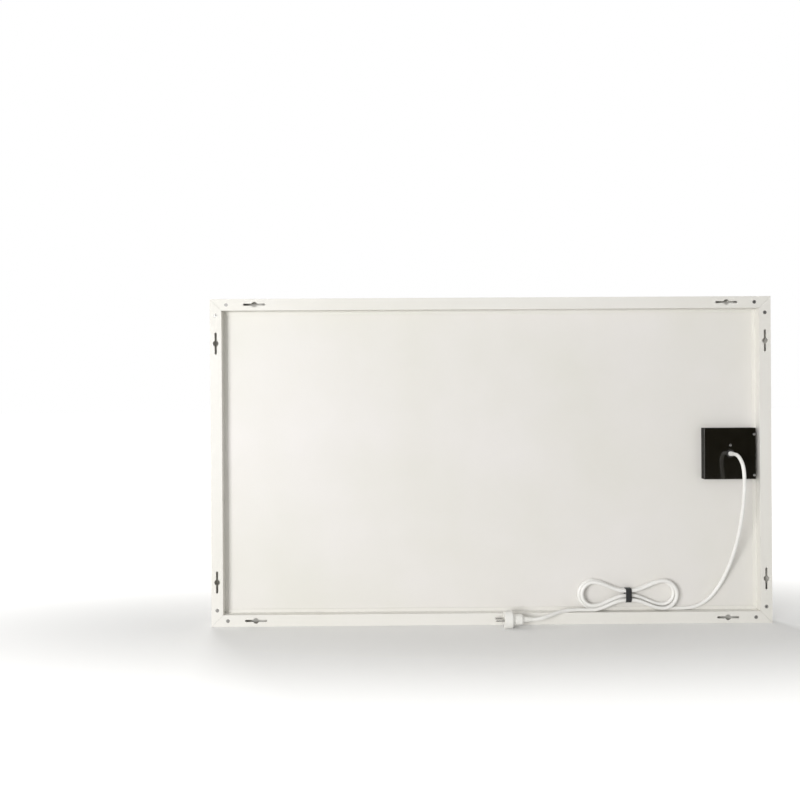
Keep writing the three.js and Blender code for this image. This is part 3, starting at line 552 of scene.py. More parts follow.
# One finish for each material slot of the record, and the ones that only the looks tell apart.
FINISHES: dict[str, Finish] = {
    # Satin white rails, a little warm: soft highlights, and edges that catch a fine line of light.
    "white_powder_coat": PowderCoat("powder_coat_satin_white", ("E9E7E2", "E5E3DC")),
    # The front's smooth near-white, warmer and glossier than the rails, with very flat peel.
    "white_enamel": PowderCoat(
        "radiant_coat_warm_white", ("F8F6F1", "F5F2EA"), roughness=0.38, peel_depth=0.06 * MM,
    ),
    # The back plate's flat white, a shade greyer than the rails and more matt.
    "tray_white": PowderCoat("powder_coat_tray_white", ("E9E6E3", "E3E1DA"), roughness=0.45),
    # Matt near-black stripes.
    "carbon_film": CarbonPrint(),
    # Warm metal with long fine roll lines.
    "copper": BareMetal(
        "copper_strip_rolled", ("C07C56", "A9694A"), roughness=0.35, density=(0.05, 1.0, 1.0),
    ),
    # Bright crumpled facets.
    "aluminium_foil": CrumpledFoil(),
    # Dull yellow fibres.
    "mineral_wool": MineralWool(),
    # Cool grey screw heads with a blurred shine and a faint spangle.
    "zinc_plate": BareMetal("zinc_plated_steel", ("B3B2AF", "949391"), roughness=0.3),
    # The lid's polished brown-black, nearly a mirror, with a slow waviness that bends reflections.
    "black_abs": Moulded(
        "abs_gloss_black", ("17150F", "1B1913"),
        roughness=0.09, grain=30 * MM, grain_depth=0.05 * MM, ior=1.65,
    ),
    # The base's spark-eroded black: a fine grain, and only a dull shine.
    "textured_abs": Moulded(
        "abs_textured_black", ("12110E", "171611"),
        roughness=0.5, grain=0.6 * MM, grain_depth=0.03 * MM, ior=1.3,
    ),
    # Soft dark grey without a shine.
    "black_rubber": Moulded("rubber_moulded_black", ("1D1C1B", "272625"), roughness=0.65),
    # Chalky off-white with a sandy grain.
    "ceramic": Moulded(
        "steatite_fired_white", ("EAE6DC", "DDD8CB"),
        roughness=0.5, grain=0.6 * MM, grain_depth=0.02 * MM,
    ),
    # Pale yellow metal with a clear shine.
    "brass": BareMetal("brass_turned", ("CDB06A", "B3954F"), roughness=0.28),
    # The pins' warm silver, the brightest metal here.
    "nickel_plate": BareMetal("nickel_plated_brass", ("D2D0CB", "BDBBB6"), roughness=0.18),
    # The three cores' clear brown, blue and green, satin as extruded.
    "brown_wire": Moulded("pvc_core_brown", ("6E4429", "63391F"), roughness=0.45),
    "blue_wire": Moulded("pvc_core_blue", ("2E62AC", "27569B"), roughness=0.45),
    "green_wire": Moulded("pvc_core_green", ("71932F", "658427"), roughness=0.45),
    # The lead's clean soft white, whiter than the coat behind it, with a long highlight.
    "white_pvc": Moulded(
        "pvc_sheath_white", ("F4F3F0", "EDECE8"),
        roughness=0.42, grain=1.6 * MM, grain_depth=0.01 * MM,
    ),
    # The plug's white, a little glossier than the lead's.
    "white_plug": Moulded(
        "pvc_plug_white", ("F1F0EC", "E9E8E3"),
        roughness=0.36, grain=1.4 * MM, grain_depth=0.02 * MM,
    ),
    # The hank's strap, a black that swallows light.
    "hook_and_loop": HookAndLoop(),
}


class Palette:
    """Builds each finish once, and dresses the frame's nodes by their material slot."""

    def __init__(self) -> None:
        """Starts with nothing built."""
        self.built: dict[str, bpy.types.Material] = {}

    def get(self, finish: str) -> bpy.types.Material:
        """Gives the material of a finish, built when it is first asked for.

        Args:
            finish: The finish's name in FINISHES.

        Returns:
            The material.
        """
        if finish not in self.built:
            self.built[finish] = FINISHES[finish].build()
        return self.built[finish]

    def dress_nodes(self, special: dict[str, str]) -> None:
        """Gives every node of the frame its finish.

        Args:
            special: The finish of each node that doesn't take its slot's own.
        """
        for part in frame["record"]["subparts"]:
            node = part["node"]
            mesh = frame["nodes"][node].data
            mesh.materials.clear()
            mesh.materials.append(self.get(special.get(node, part["material_slot"])))


PALETTE = Palette()


# ---- Mesh tools ----


def add_piece(
    bm: bmesh.types.BMesh,
    name: str,
    slot: str,
    node: str,
    finish: str | None = None,
) -> bpy.types.Object:
    """Turns a finished mesh into a piece of the object.

    Args:
        bm: The mesh, in place. It is freed.
        name: The piece's name.
        slot: The record's material slot that it takes its finish from.
        node: The node that it replaces.
        finish: Its finish, where that isn't the slot's own.

    Returns:
        The piece.
    """
    for face in bm.faces:
        face.smooth = True
    for edge in bm.edges:
        edge.smooth = edge.calc_face_angle(math.pi) < SMOOTH_ANGLE
    mesh = bpy.data.meshes.new(name)
    bm.to_mesh(mesh)
    bm.free()
    mesh.materials.append(PALETTE.get(finish or slot))
    piece = bpy.data.objects.new(name, mesh)
    bpy.context.scene.collection.objects.link(piece)
    # Without it, the rounded edges would bend the light on the flat faces beside them.
    flat = piece.modifiers.new("flat_faces", "WEIGHTED_NORMAL")
    flat.keep_sharp = True
    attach(piece, BODY)
    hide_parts(node)
    log.info("piece %s: %d faces", name, len(mesh.polygons))
    return piece


def spun(profile: Iterable[Pair], steps: int = 64, closed: bool = False) -> bmesh.types.BMesh:
    """Spins a profile about the Z axis.

    Args:
        profile: (radius, height) points in metres.
        steps: How many steps a full turn has.
        closed: Whether the profile's last point joins its first.

    Returns:
        The spun mesh, with its normals outwards.
    """
    bm = bmesh.new()
    verts = [bm.verts.new((radius, 0, height)) for radius, height in profile]
    pairs = list(zip(verts, verts[1:])) + ([(verts[-1], verts[0])] if closed else [])
    edges = [bm.edges.new(pair) for pair in pairs]
    bmesh.ops.spin(
        bm, geom=verts + edges, cent=(0, 0, 0), axis=(0, 0, 1), dvec=(0, 0, 0),
        angle=math.tau, steps=steps, use_merge=True, use_duplicate=False,
    )
    bmesh.ops.remove_doubles(bm, verts=bm.verts, dist=MERGE)
    bmesh.ops.recalc_face_normals(bm, faces=bm.faces)
    return bm


def round_edges(
    bm: bmesh.types.BMesh, radius: float, segments: int = 2, angle: float = SMOOTH_ANGLE
) -> None:
    """Rounds every edge between faces that meet at more than an angle.

    Args:
        bm: The mesh.
        radius: How far the rounding reaches from the edge.
        segments: How many faces it has.
        angle: The angle.
    """
    sharp = [edge for edge in bm.edges if edge.is_manifold and edge.calc_face_angle() > angle]
    bmesh.ops.bevel(
        bm, geom=sharp, offset=radius, offset_type="OFFSET", segments=segments,
        profile=0.5, affect="EDGES", material=-1,
    )


def merged_copy(node: str) -> bmesh.types.BMesh:
    """Copies a node's mesh, with its triangles merged into whole faces.

    Args:
        node: The node's name.

    Returns:
        The copy.
    """
    bm = bmesh.new()
    bm.from_mesh(frame["nodes"][node].data)
    bmesh.ops.remove_doubles(bm, verts=bm.verts, dist=MERGE)
    bmesh.ops.dissolve_limit(bm, angle_limit=FLAT_ANGLE, verts=bm.verts, edges=bm.edges)
    return bm


def middle(node: str) -> Vector:
    """Gives the middle of a node's box."""
    low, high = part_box(node)
    return (low + high) / 2


def end_middle(node: str, axis: str, side: int) -> Vector:
    """Gives the middle of one end face of a node's box.

    Args:
        node: The node's name.
        axis: The axis that the face lies across, "x", "y" or "z".
        side: 0 for the face at the low end, or 1 for the one at the high end.

    Returns:
        The point.
    """
    place = middle(node)
    setattr(place, axis, getattr(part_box(node)[side], axis))
    return place


def picked(parts: Iterable[object], kind: type) -> list[object]:
    """Picks the parts of one kind out of what a mesh operator gives back.

    Args:
        parts: Vertices, edges and faces.
        kind: The kind, such as bmesh.types.BMVert.

    Returns:
        The parts of that kind, in the same order.
    """
    return [part for part in parts if isinstance(part, kind)]


def carved(bm: bmesh.types.BMesh, cutter: bmesh.types.BMesh) -> bmesh.types.BMesh:
    """Cuts one closed mesh out of another.

    Args:
        bm: The mesh that is cut. It is freed.
        cutter: The mesh that cuts it. It is freed.

    Returns:
        What is left.
    """
    block = bpy.data.objects.new("block", bpy.data.meshes.new("block"))
    tool = bpy.data.objects.new("tool", bpy.data.meshes.new("tool"))
    for thing, source in ((block, bm), (tool, cutter)):
        source.to_mesh(thing.data)
        source.free()
        bpy.context.scene.collection.objects.link(thing)
    cut = block.modifiers.new("cut", "BOOLEAN")
    cut.object, cut.operation, cut.solver = tool, "DIFFERENCE", "EXACT"
    bpy.context.view_layer.update()
    left = bmesh.new()
    left.from_object(block, bpy.context.evaluated_depsgraph_get())
    for thing in (block, tool):
        bpy.data.objects.remove(thing)
    return left


def extrude_rings(
    bm: bmesh.types.BMesh,
    ring: Sequence[bmesh.types.BMEdge],
    start: float,
    steps: Iterable[Pair],
) -> None:
    """Extrudes a ring about the Z axis through further rings, and closes the last one.

    Args:
        bm: The mesh.
        ring: The first ring's edges, at a height of 0.
        start: The first ring's radius.
        steps: (radius, height) of each further ring.
    """
    radius, height = start, 0.0
    for next_radius, next_height in steps:
        made = bmesh.ops.extrude_edge_only(bm, edges=ring)["geom"]
        verts = picked(made, bmesh.types.BMVert)
        share = next_radius / radius
        bmesh.ops.scale(bm, vec=(share, share, 1), verts=verts)
        bmesh.ops.translate(bm, vec=(0, 0, next_height - height), verts=verts)
        edges = picked(made, bmesh.types.BMEdge)
        ring = [edge for edge in edges if set(edge.verts) <= set(verts)]
        radius, height = next_radius, next_height
    bmesh.ops.contextual_create(bm, geom=ring)


# The turns that lay a piece made about the Z axis along another one.
ALONG_Y = Matrix.Rotation(-math.pi / 2, 4, "X")
ALONG_X = Matrix.Rotation(math.pi / 2, 4, "Y")


def put(bm: bmesh.types.BMesh, turn: Matrix, place: Vector) -> None:
    """Turns a mesh that was made about the Z axis, and moves it to its place.

    Args:
        bm: The mesh.
        turn: The turn, such as ALONG_Y.
        place: Where its origin goes.
    """
    bmesh.ops.transform(bm, matrix=Matrix.Translation(place) @ turn, verts=bm.verts)


# ---- Frame ----


class HeadStyle(Enum):
    """The shapes of screw head on the heater."""

    COUNTERSUNK = "countersunk"
    PAN = "pan"


@dataclass
class CrossHeadScrew:
    """A zinc-plated screw with a cross recess, along Y with its head to the back."""

    style: HeadStyle
    head_diameter: float
    head_height: float
    shank_diameter: float
    recess_reach: float
    recess_width: float
    recess_depth: float
    recess_taper: float = 0.45
    rim_edge: float = 0.15 * MM
    crown_share: float = 0.68
    crown_height: float = 1.1 * MM
    crown_angles: tuple[int, ...] = (60, 30, 0)
    tip_radius_loss: float = 0.5 * MM
    tip_length: float = 0.8 * MM
    ring_steps: int = 48

    def top_radius(self) -> float:
        """Gives the radius of the flat face that the recess is in.

        Returns:
            The radius.
        """
        radius = self.head_diameter / 2
        flat = self.style is HeadStyle.COUNTERSUNK
        return radius - self.rim_edge if flat else radius * self.crown_share

    def rings(self, length: float) -> list[Pair]:
        """Gives the rings of the head below its top face, and of the shank.

        Args:
            length: The screw's whole length.

        Returns:
            The (radius, height) of each ring, from the top down.
        """
        radius, top, shank = self.head_diameter / 2, self.top_radius(), self.shank_diameter / 2
        if self.style is HeadStyle.COUNTERSUNK:
            side = [(radius, -self.rim_edge)]
        else:
            side = [
                (top + (radius - top) * math.cos(turn), self.crown_height * (math.sin(turn) - 1))
                for turn in map(math.radians, self.crown_angles)
            ]
            side.append((radius, -self.head_height))
        tip = [(shank, self.tip_length - length), (shank - self.tip_radius_loss, -length)]
        return [*side, (shank, -self.head_height), *tip]

    def recess_corners(self) -> list[Vector]:
        """Gives the corners of the recess's cross.

        Returns:
            The twelve corners, in order.
        """
        reach, half = self.recess_reach, self.recess_width / 2
        arm = [Vector((reach, -half)), Vector((reach, half)), Vector((half, half))]
        turns = [Matrix.Rotation(quarter * math.pi / 2, 2) for quarter in range(4)]
        return [turn @ corner for turn in turns for corner in arm]

    def build(self, node: str, name: str) -> bpy.types.Object:
        """Builds one screw in place of its node.

        Args:
            node: The node that it stands for.
            name: The piece's name.

        Returns:
            The screw.
        """
        low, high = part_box(node)
        bm = bmesh.new()
        recess = bm.faces.new([bm.verts.new((x, y, 0)) for x, y in self.recess_corners()])
        mouth = list(bm.edges)
        bmesh.ops.create_circle(
            bm, cap_ends=False, radius=self.top_radius(), segments=self.ring_steps,
        )
        rim = [edge for edge in bm.edges if edge not in set(mouth)]
        bmesh.ops.triangle_fill(bm, use_beauty=True, edges=mouth + rim, normal=(0, 0, 1))
        floor = bmesh.ops.extrude_discrete_faces(bm, faces=[recess])["faces"][0]
        bmesh.ops.scale(bm, vec=(self.recess_taper, self.recess_taper, 1), verts=floor.verts)
        bmesh.ops.translate(bm, vec=(0, 0, -self.recess_depth), verts=floor.verts)
        extrude_rings(bm, rim, self.top_radius(), self.rings(high.y - low.y))
        bmesh.ops.recalc_face_normals(bm, faces=bm.faces)
        put(bm, ALONG_Y, end_middle(node, "y", 1))
        return add_piece(bm, name, "zinc_plate", node)


@dataclass
class PanelFrame:
    """The mitred frame of four extruded rails, with countersunk screws into its corner keys."""

    sides: tuple[str, ...] = ("bottom", "top", "left", "right")
    corners: tuple[str, ...] = ("bottom_left", "bottom_right", "top_right", "top_left")
    edge_radius: float = 0.3 * MM
    screw: CrossHeadScrew = field(default_factory=lambda: CrossHeadScrew(
        HeadStyle.COUNTERSUNK, head_diameter=8 * MM, head_height=2 * MM, shank_diameter=4 * MM,
        recess_reach=2.3 * MM, recess_width=0.9 * MM, recess_depth=1.5 * MM,
    ))

    def build_rails(self) -> None:
        """Builds each rail with its edges broken, as an extruded and coated rail has them."""
        for side in self.sides:
            node = f"frame_rail_{side}"
            bm = merged_copy(node)
            round_edges(bm, self.edge_radius)
            add_piece(bm, f"{side}_rail", "white_powder_coat", node)

    def build_screws(self) -> None:
        """Builds the two screws at each corner."""
        for corner in self.corners:
            for number in (1, 2):
                self.screw.build(f"corner_screw_{corner}_{number}", f"rail_screw_{corner}_{number}")


# ---- Junction box ----


@dataclass
class JunctionBox:
    """The black box behind the panel: textured base, glossy lid, screws and grommet."""

    edge_radius: float = 0.5 * MM
    edge_segments: int = 3
    bore: float = 5.3 * MM
    neck: float = 6.7 * MM
    flange: float = 8.5 * MM
    flange_height: float = 1.9 * MM
    flange_edge: float = 0.8 * MM
    lip_radius: float = 0.3 * MM
    screw: CrossHeadScrew = field(default_factory=lambda: CrossHeadScrew(
        HeadStyle.PAN, head_diameter=5.6 * MM, head_height=1.8 * MM, shank_diameter=3 * MM,
        recess_reach=1.5 * MM, recess_width=0.7 * MM, recess_depth=1.0 * MM,
    ))

    def build_shells(self) -> None:
        """Builds the base and the lid with moulded edges."""
        for node, name, finish in (
            ("junction_box_base", "box_base", "textured_abs"),
            ("junction_box_lid", "box_lid", "black_abs"),
        ):
            bm = merged_copy(node)
            round_edges(bm, self.edge_radius, self.edge_segments)
            add_piece(bm, name, "black_abs", node, finish)

    def build_screws(self) -> None:
        """Builds the lid's two screws and the clamp's screw."""
        for node, name in (
            ("lid_screw_upper", "box_screw_upper"),
            ("lid_screw_lower", "box_screw_lower"),
            ("clamp_screw", "cord_clamp_screw"),
        ):
            self.screw.build(node, name)

    def build_grommet(self) -> None:
        """Builds the rubber grommet round the lead's strain relief."""
        low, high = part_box("lid_grommet")
        height = high.y - low.y
        seat = height - self.flange_height
        bm = spun([
            (self.bore, 0),
            (self.neck, 0),
            (self.neck, seat),
            (self.flange, seat),
            (self.flange, height - self.flange_edge),
            (self.flange - self.flange_edge, height),
            (self.bore, height),
        ], closed=True)
        round_edges(bm, self.lip_radius)
        put(bm, ALONG_Y, end_middle("lid_grommet", "y", 0))
        add_piece(bm, "cord_grommet", "black_rubber", "lid_grommet")


# ---- Mains lead ----


@dataclass
class HankFold:
    """The route of the folded hank, which spirals in through one layer and out through the next.

    A turn has two folds and two runs between them. A run takes 5/24 of a turn in five equal steps,
    and the middle one goes through the tie. At the folds the strands lie a pitch apart, and at the
    tie a waist pitch. The lowest strand lies on a shelf, the bottom rail's inner face.
    """

    centre_x: float = -293 * MM
    run: float = 150 * MM
    fold_radius: float = 22.5 * MM
    pitch: float = 9.2 * MM
    waist_pitch: float = 10.2 * MM
    waist_half: float = 2.4 * MM
    waist_length: float = 16 * MM
    layer: float = 8.4 * MM
    first_layer_y: float = 1.85 * MM
    shelf_z: float = 29.05 * MM
    turns: int = 2
    run_share: float = 5 / 24
    run_steps: int = 5
    soften: float = 0.1
    steps_per_turn: int = 96
    end: float = field(init=False)
    axis_z: float = field(init=False)

    def __post_init__(self) -> None:
        """Works out where the route ends and the height of its axis."""
        self.end = self.turns + self.run_share
        self.axis_z = self.shelf_z + self.fold_radius + self.offset(0) * self.pitch

    def offset(self, turn: float) -> float:
        """Gives how many pitches a strand lies outside the innermost fold."""
        return math.hypot(turn - self.end / 2, self.soften)

    @staticmethod
    def eased(share: float) -> float:
        """Eases a share from 0 to 1."""
        return share * share * (3 - 2 * share)

    def half_width(self, along: float, offset: float) -> float:
        """Gives half the fold's width at a distance along it from the tie.

        Args:
            along: The distance.
            offset: The strand's offset.

        Returns:
            Half the width, in metres.
        """
        waist = self.waist_half + offset * self.waist_pitch
        fold = self.fold_radius + offset * self.pitch
        beyond = abs(along) - self.waist_length / 2
        share = beyond / (self.run / 2 - self.waist_length / 2)
        return waist + (fold - waist) * self.eased(max(0.0, share))

    def along_run(self, share: float) -> float:
        """Gives how far along its run a strand is.

        Args:
            share: The share of the run that is done, from 0 to 1.

        Returns:
            The distance from the tie, in metres.
        """
        step = 1 / self.run_steps
        from_middle = share - 0.5
        beyond = max(0.0, abs(from_middle) - step / 2) / (0.5 - step / 2)
        inside = min(1.0, abs(from_middle) / (step / 2))
        length = inside * self.waist_length + beyond * (self.run - self.waist_length)
        return math.copysign(length, from_middle) / 2

    def layer_y(self, turn: float) -> float:
        """Gives how far back the strand lies."""
        share = (turn - (self.end - self.run_share) / 2) / self.run_share
        return self.first_layer_y + self.layer * self.eased(min(1.0, max(0.0, share)))

    def point(self, turn: float) -> Vector:
        """Gives the cord's centre after a number of turns.

        Args:
            turn: The number of turns. Before the first and after the last, the cord is straight.

        Returns:
            The point, in metres.
        """
        half = self.run / 2
        if turn < 0 or turn > self.end:
            edge, side, past = (0.0, -1, turn) if turn < 0 else (self.end, 1, turn - self.end)
            x = side * half + past * MainsLead.diameter
            z = self.axis_z - self.half_width(half, self.offset(edge))
            return Vector((self.centre_x + x, self.layer_y(edge), z))
        offset = self.offset(turn)
        phase, side = (turn % 1, 1) if turn % 1 < 0.5 else (turn % 1 - 0.5, -1)
        if phase <= self.run_share:
            x = self.along_run(phase / self.run_share)
            z = -self.half_width(x, offset)
        else:
            angle = math.pi * (phase - self.run_share) / (0.5 - self.run_share) - math.pi / 2
            radius = self.fold_radius + offset * self.pitch
            x, z = half + radius * math.cos(angle), radius * math.sin(angle)
        return Vector((self.centre_x + side * x, self.layer_y(turn), self.axis_z + side * z))

    def points(self) -> list[Vector]:
        """Gives the route from its straight start to its straight end.

        Returns:
            The points of the cord's centre.
        """
        steps = round(self.end * self.steps_per_turn)
        turns = [-1.0, *(self.end * i / steps for i in range(steps + 1)), self.end + 1]
        return [self.point(turn) for turn in turns]


def smooth_route(points: Sequence[Vector], per_span: int = 10) -> list[Vector]:
    """Runs a smooth curve through points, with no loop or cusp between two of them.

    Args:
        points: The points.
        per_span: How many steps lie between two of them.

    Returns:
        Points along the curve.
    """
    ends = [2 * points[0] - points[1], *points, 2 * points[-1] - points[-2]]
    route = []
    for p0, p1, p2, p3 in zip(ends, ends[1:], ends[2:], ends[3:]):
        # The knots lie as far apart as the square roots of the points' distances.
        k1 = math.sqrt((p1 - p0).length)
        k2 = k1 + math.sqrt((p2 - p1).length)
        k3 = k2 + math.sqrt((p3 - p2).length)
        for step in range(per_span):
            k = k1 + (k2 - k1) * step / per_span
            a1 = p0.lerp(p1, k / k1)
            a2 = p1.lerp(p2, (k - k1) / (k2 - k1))
            a3 = p2.lerp(p3, (k - k2) / (k3 - k2))
            b1 = a1.lerp(a2, k / k2)
            b2 = a2.lerp(a3, (k - k1) / (k3 - k1))
            route.append(b1.lerp(b2, (k - k1) / (k2 - k1)))
    return [*route, points[-1].copy()]


# The lead's free stretches, in metres: out of the lid and down to the hank, and on to the plug.
LEAD_MIDDLE = [
    (-0.5132, 0.0481, 0.3614),
    (-0.5138, 0.0570, 0.3568),
    (-0.5148, 0.0642, 0.3495),
    (-0.5160, 0.0687, 0.3403),
    (-0.5172, 0.0700, 0.3290),
    (-0.5186, 0.0686, 0.3080),
    (-0.5196, 0.0646, 0.2830),
    (-0.5200, 0.0584, 0.2550),
    (-0.5196, 0.0504, 0.2260),
    (-0.5182, 0.0414, 0.1970),
    (-0.5156, 0.0320, 0.1685),
    (-0.5114, 0.0228, 0.1410),
    (-0.5050, 0.0146, 0.1145),
    (-0.4962, 0.0082, 0.0900),
    (-0.4846, 0.0042, 0.0685),
    (-0.4704, 0.0024, 0.0510),
    (-0.4540, 0.0018, 0.0388),
    (-0.4365, 0.0018, 0.0318),
]
TAIL_MIDDLE = [
    (-0.1800, 0.0114, 0.0293),
    (-0.1640, 0.0152, 0.0294),
    (-0.1490, 0.0212, 0.0290),
    (-0.1345, 0.0284, 0.0274),
    (-0.1200, 0.0350, 0.0242),
    (-0.1050, 0.0394, 0.0206),
]


@dataclass
class MainsLead:
    """The white mains lead, one round cord from its strain relief in the lid to its plug.

    Each end is tucked a few millimetres into its piece.
    """

    diameter: float = 7.5 * MM
    tucked: float = 4 * MM
    gap: float = 0.3 * MM
    last_x: float = -418 * MM
    last_rise: float = 0.3 * MM
    roundness: int = 6
    hank: HankFold = field(default_factory=HankFold)

    def route(self) -> list[Vector]:
        """Gives the whole route, from inside the strain relief to inside the plug.

        Returns:
            The points of the cord's centre.
        """
        out, plug = end_middle("strain_relief", "y", 1), end_middle("plug_body", "x", 0)
        back, right = Vector((0, 1, 0)), Vector((1, 0, 0))
        straight = self.gap + self.diameter
        first, last = self.hank.point(-1), self.hank.point(self.hank.end + 1)
        lead = [
            out - back * self.tucked,
            out + back * self.gap,
            out + back * straight,
            *map(Vector, LEAD_MIDDLE),
            Vector((self.last_x, first.y, first.z + self.last_rise)),
            first - right * straight,
            first - right * self.gap,
        ]
        tail = [
            last + right * self.gap,
            last + right * straight,
            *map(Vector, TAIL_MIDDLE),
            plug - right * straight,
            plug - right * self.gap,
            plug + right * self.tucked,
        ]
        return [*smooth_route(lead), *self.hank.points(), *smooth_route(tail)]

    def length(self) -> float:
        """Gives the cord's length from the strain relief's tip to the plug."""
        route = self.route()
        return sum((b - a).length for a, b in zip(route, route[1:])) - 2 * self.tucked

    def build(self) -> bpy.types.Object:
        """Builds the cord along its route.

        Returns:
            The cord.
        """
        route = self.route()
        curve = bpy.data.curves.new("mains_cord", "CURVE")
        curve.dimensions = "3D"
        spline = curve.splines.new("POLY")
        spline.points.add(len(route) - 1)
        for place, point in zip(spline.points, route):
            place.co = (*point, 1)
        curve.bevel_depth = self.diameter / 2
        curve.bevel_resolution = self.roundness
        curve.use_fill_caps = True
        spline.use_smooth = True
        curve.materials.append(PALETTE.get("white_pvc"))
        cord = bpy.data.objects.new("mains_cord", curve)
        bpy.context.scene.collection.objects.link(cord)
        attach(cord, BODY)
        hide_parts("cord_lead", "cord_hank", "cord_tail")
        return cord

    def declare(self, pieces: Sequence[bpy.types.Object]) -> None:
        """Logs the lead's length.

        Args:
            pieces: The pieces on it. Not used.
        """
        length = self.length()
        tuple(end_middle("strain_relief", "y", 1))
        log.info("mains lead: %.3f m", length)


# The lead's two ends lie in blind bores of this size.
BORE_RADIUS = MainsLead.diameter / 2 + 0.08 * MM
BORE_DEPTH = 5 * MM


@dataclass
class StrainRelief:
    """The tapered white sleeve that the lead leaves the lid in, grooved so that its tip bends."""

    root_radius: float = 5.0 * MM
    tip_radius: float = 4.1 * MM
    taper_start: float = 8.8 * MM
    grooves: int = 3
    first_groove: float = 11.6 * MM
    groove_pitch: float = 2.9 * MM
    groove_width: float = 1.1 * MM
    groove_depth: float = 0.7 * MM
    groove_slope: float = 0.2 * MM
    tip_edge: float = 0.15 * MM

    def radius(self, height: float, length: float) -> float:
        """Gives the taper's radius.

        Args:
            height: The height, from the root.
            length: The sleeve's whole length.

        Returns:
            The radius.
        """
        share = max(0.0, height - self.taper_start) / (length - self.taper_start)
        return self.root_radius + (self.tip_radius - self.root_radius) * share

    def build(self) -> bpy.types.Object:
        """Builds the strain relief in place of its node.

        Returns:
            The strain relief.
        """
        low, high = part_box("strain_relief")
        length = high.y - low.y
        profile = [(0, 0), (self.root_radius, 0), (self.root_radius, self.taper_start)]
        for number in range(self.grooves):
            start = self.first_groove + number * self.groove_pitch
            end = start + self.groove_width
            top, bottom = self.radius(start, length), self.radius(end, length)
            profile += [(top, start), (top - self.groove_depth, start + self.groove_slope)]
            profile += [(bottom - self.groove_depth, end - self.groove_slope), (bottom, end)]
        inside = length - BORE_DEPTH
        profile += [
            (self.tip_radius, length - 2 * self.tip_edge),
            (self.tip_radius - self.tip_edge, length),
            (BORE_RADIUS, length),
            (BORE_RADIUS, inside),
            (0, inside),
        ]
        bm = spun(profile)
        put(bm, ALONG_Y, end_middle("strain_relief", "y", 0))
        return add_piece(bm, "cord_relief", "white_pvc", "strain_relief")


@dataclass
class HankStrap:
    """The black strap round the hank's waist, with its free end pressed down over its start.

    The lap's ends are shares of half the loop's size.
    """

    thickness: float = 1.2 * MM
    corner: float = 4.6 * MM
    lap_gap: float = 0.05 * MM
    lap_from: float = 0.55
    lap_to: float = 0.5
    edge_radius: float = 0.25 * MM
    edge_angle: float = math.radians(60)
    steps: int = 48

    def add_turn(
        self, bm: bmesh.types.BMesh, half: Vector, grown: float, width: float
    ) -> list[bmesh.types.BMFace]:
        """Adds one turn of the strap, an upright band round a box with rounded corners.

        Args:
            bm: The mesh.
            half: Half the box's size along X and Y.
            grown: How far the band lies outside the box.
            width: The strap's width, along Z.

        Returns:
            The band's faces.
        """
        verts = bmesh.ops.create_circle(
            bm, cap_ends=False, radius=self.corner + grown, segments=self.steps,
        )["verts"]
        # Half a step's turn leaves no vertex on an axis, where it would belong to neither side.
        half_step = Matrix.Rotation(math.pi / self.steps, 3, "Z")
        bmesh.ops.rotate(bm, cent=(0, 0, 0), matrix=half_step, verts=verts)
        for vert in verts:
            vert.co.x += math.copysign(half.x - self.corner, vert.co.x)
            vert.co.y += math.copysign(half.y - self.corner, vert.co.y)
        edges = list({edge for vert in verts for edge in vert.link_edges})
        wall = bmesh.ops.extrude_edge_only(bm, edges=edges)["geom"]
        bmesh.ops.translate(bm, vec=(0, 0, width), verts=picked(wall, bmesh.types.BMVert))
        return picked(wall, bmesh.types.BMFace)

    def build(self) -> bpy.types.Object:
        """Builds the strap in place of its node.

        Returns:
            The strap.
        """
        low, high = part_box("hank_tie")
        width = high.x - low.x
        half = Vector((high.z - low.z - self.thickness, high.y - low.y - self.thickness)) / 2
        bm = bmesh.new()
        self.add_turn(bm, half, 0.0, width)
        # Of a second turn only the lap stays, on the back face from its top to below its middle.
        bare = []
        for face in self.add_turn(bm, half, self.thickness + self.lap_gap, width):
            place = face.calc_center_median()
            if place.y < half.y * self.lap_from or place.x > half.x * self.lap_to:
                bare.append(face)
        bmesh.ops.delete(bm, geom=bare, context="FACES")
        bmesh.ops.recalc_face_normals(bm, faces=bm.faces)
        bmesh.ops.solidify(bm, geom=list(bm.faces), thickness=self.thickness)
        bmesh.ops.translate(bm, vec=(0, 0, -width / 2), verts=bm.verts)
        round_edges(bm, self.edge_radius, angle=self.edge_angle)
        put(bm, ALONG_X, middle("hank_tie"))
        return add_piece(bm, "hank_strap", "black_rubber", "hank_tie", "hook_and_loop")


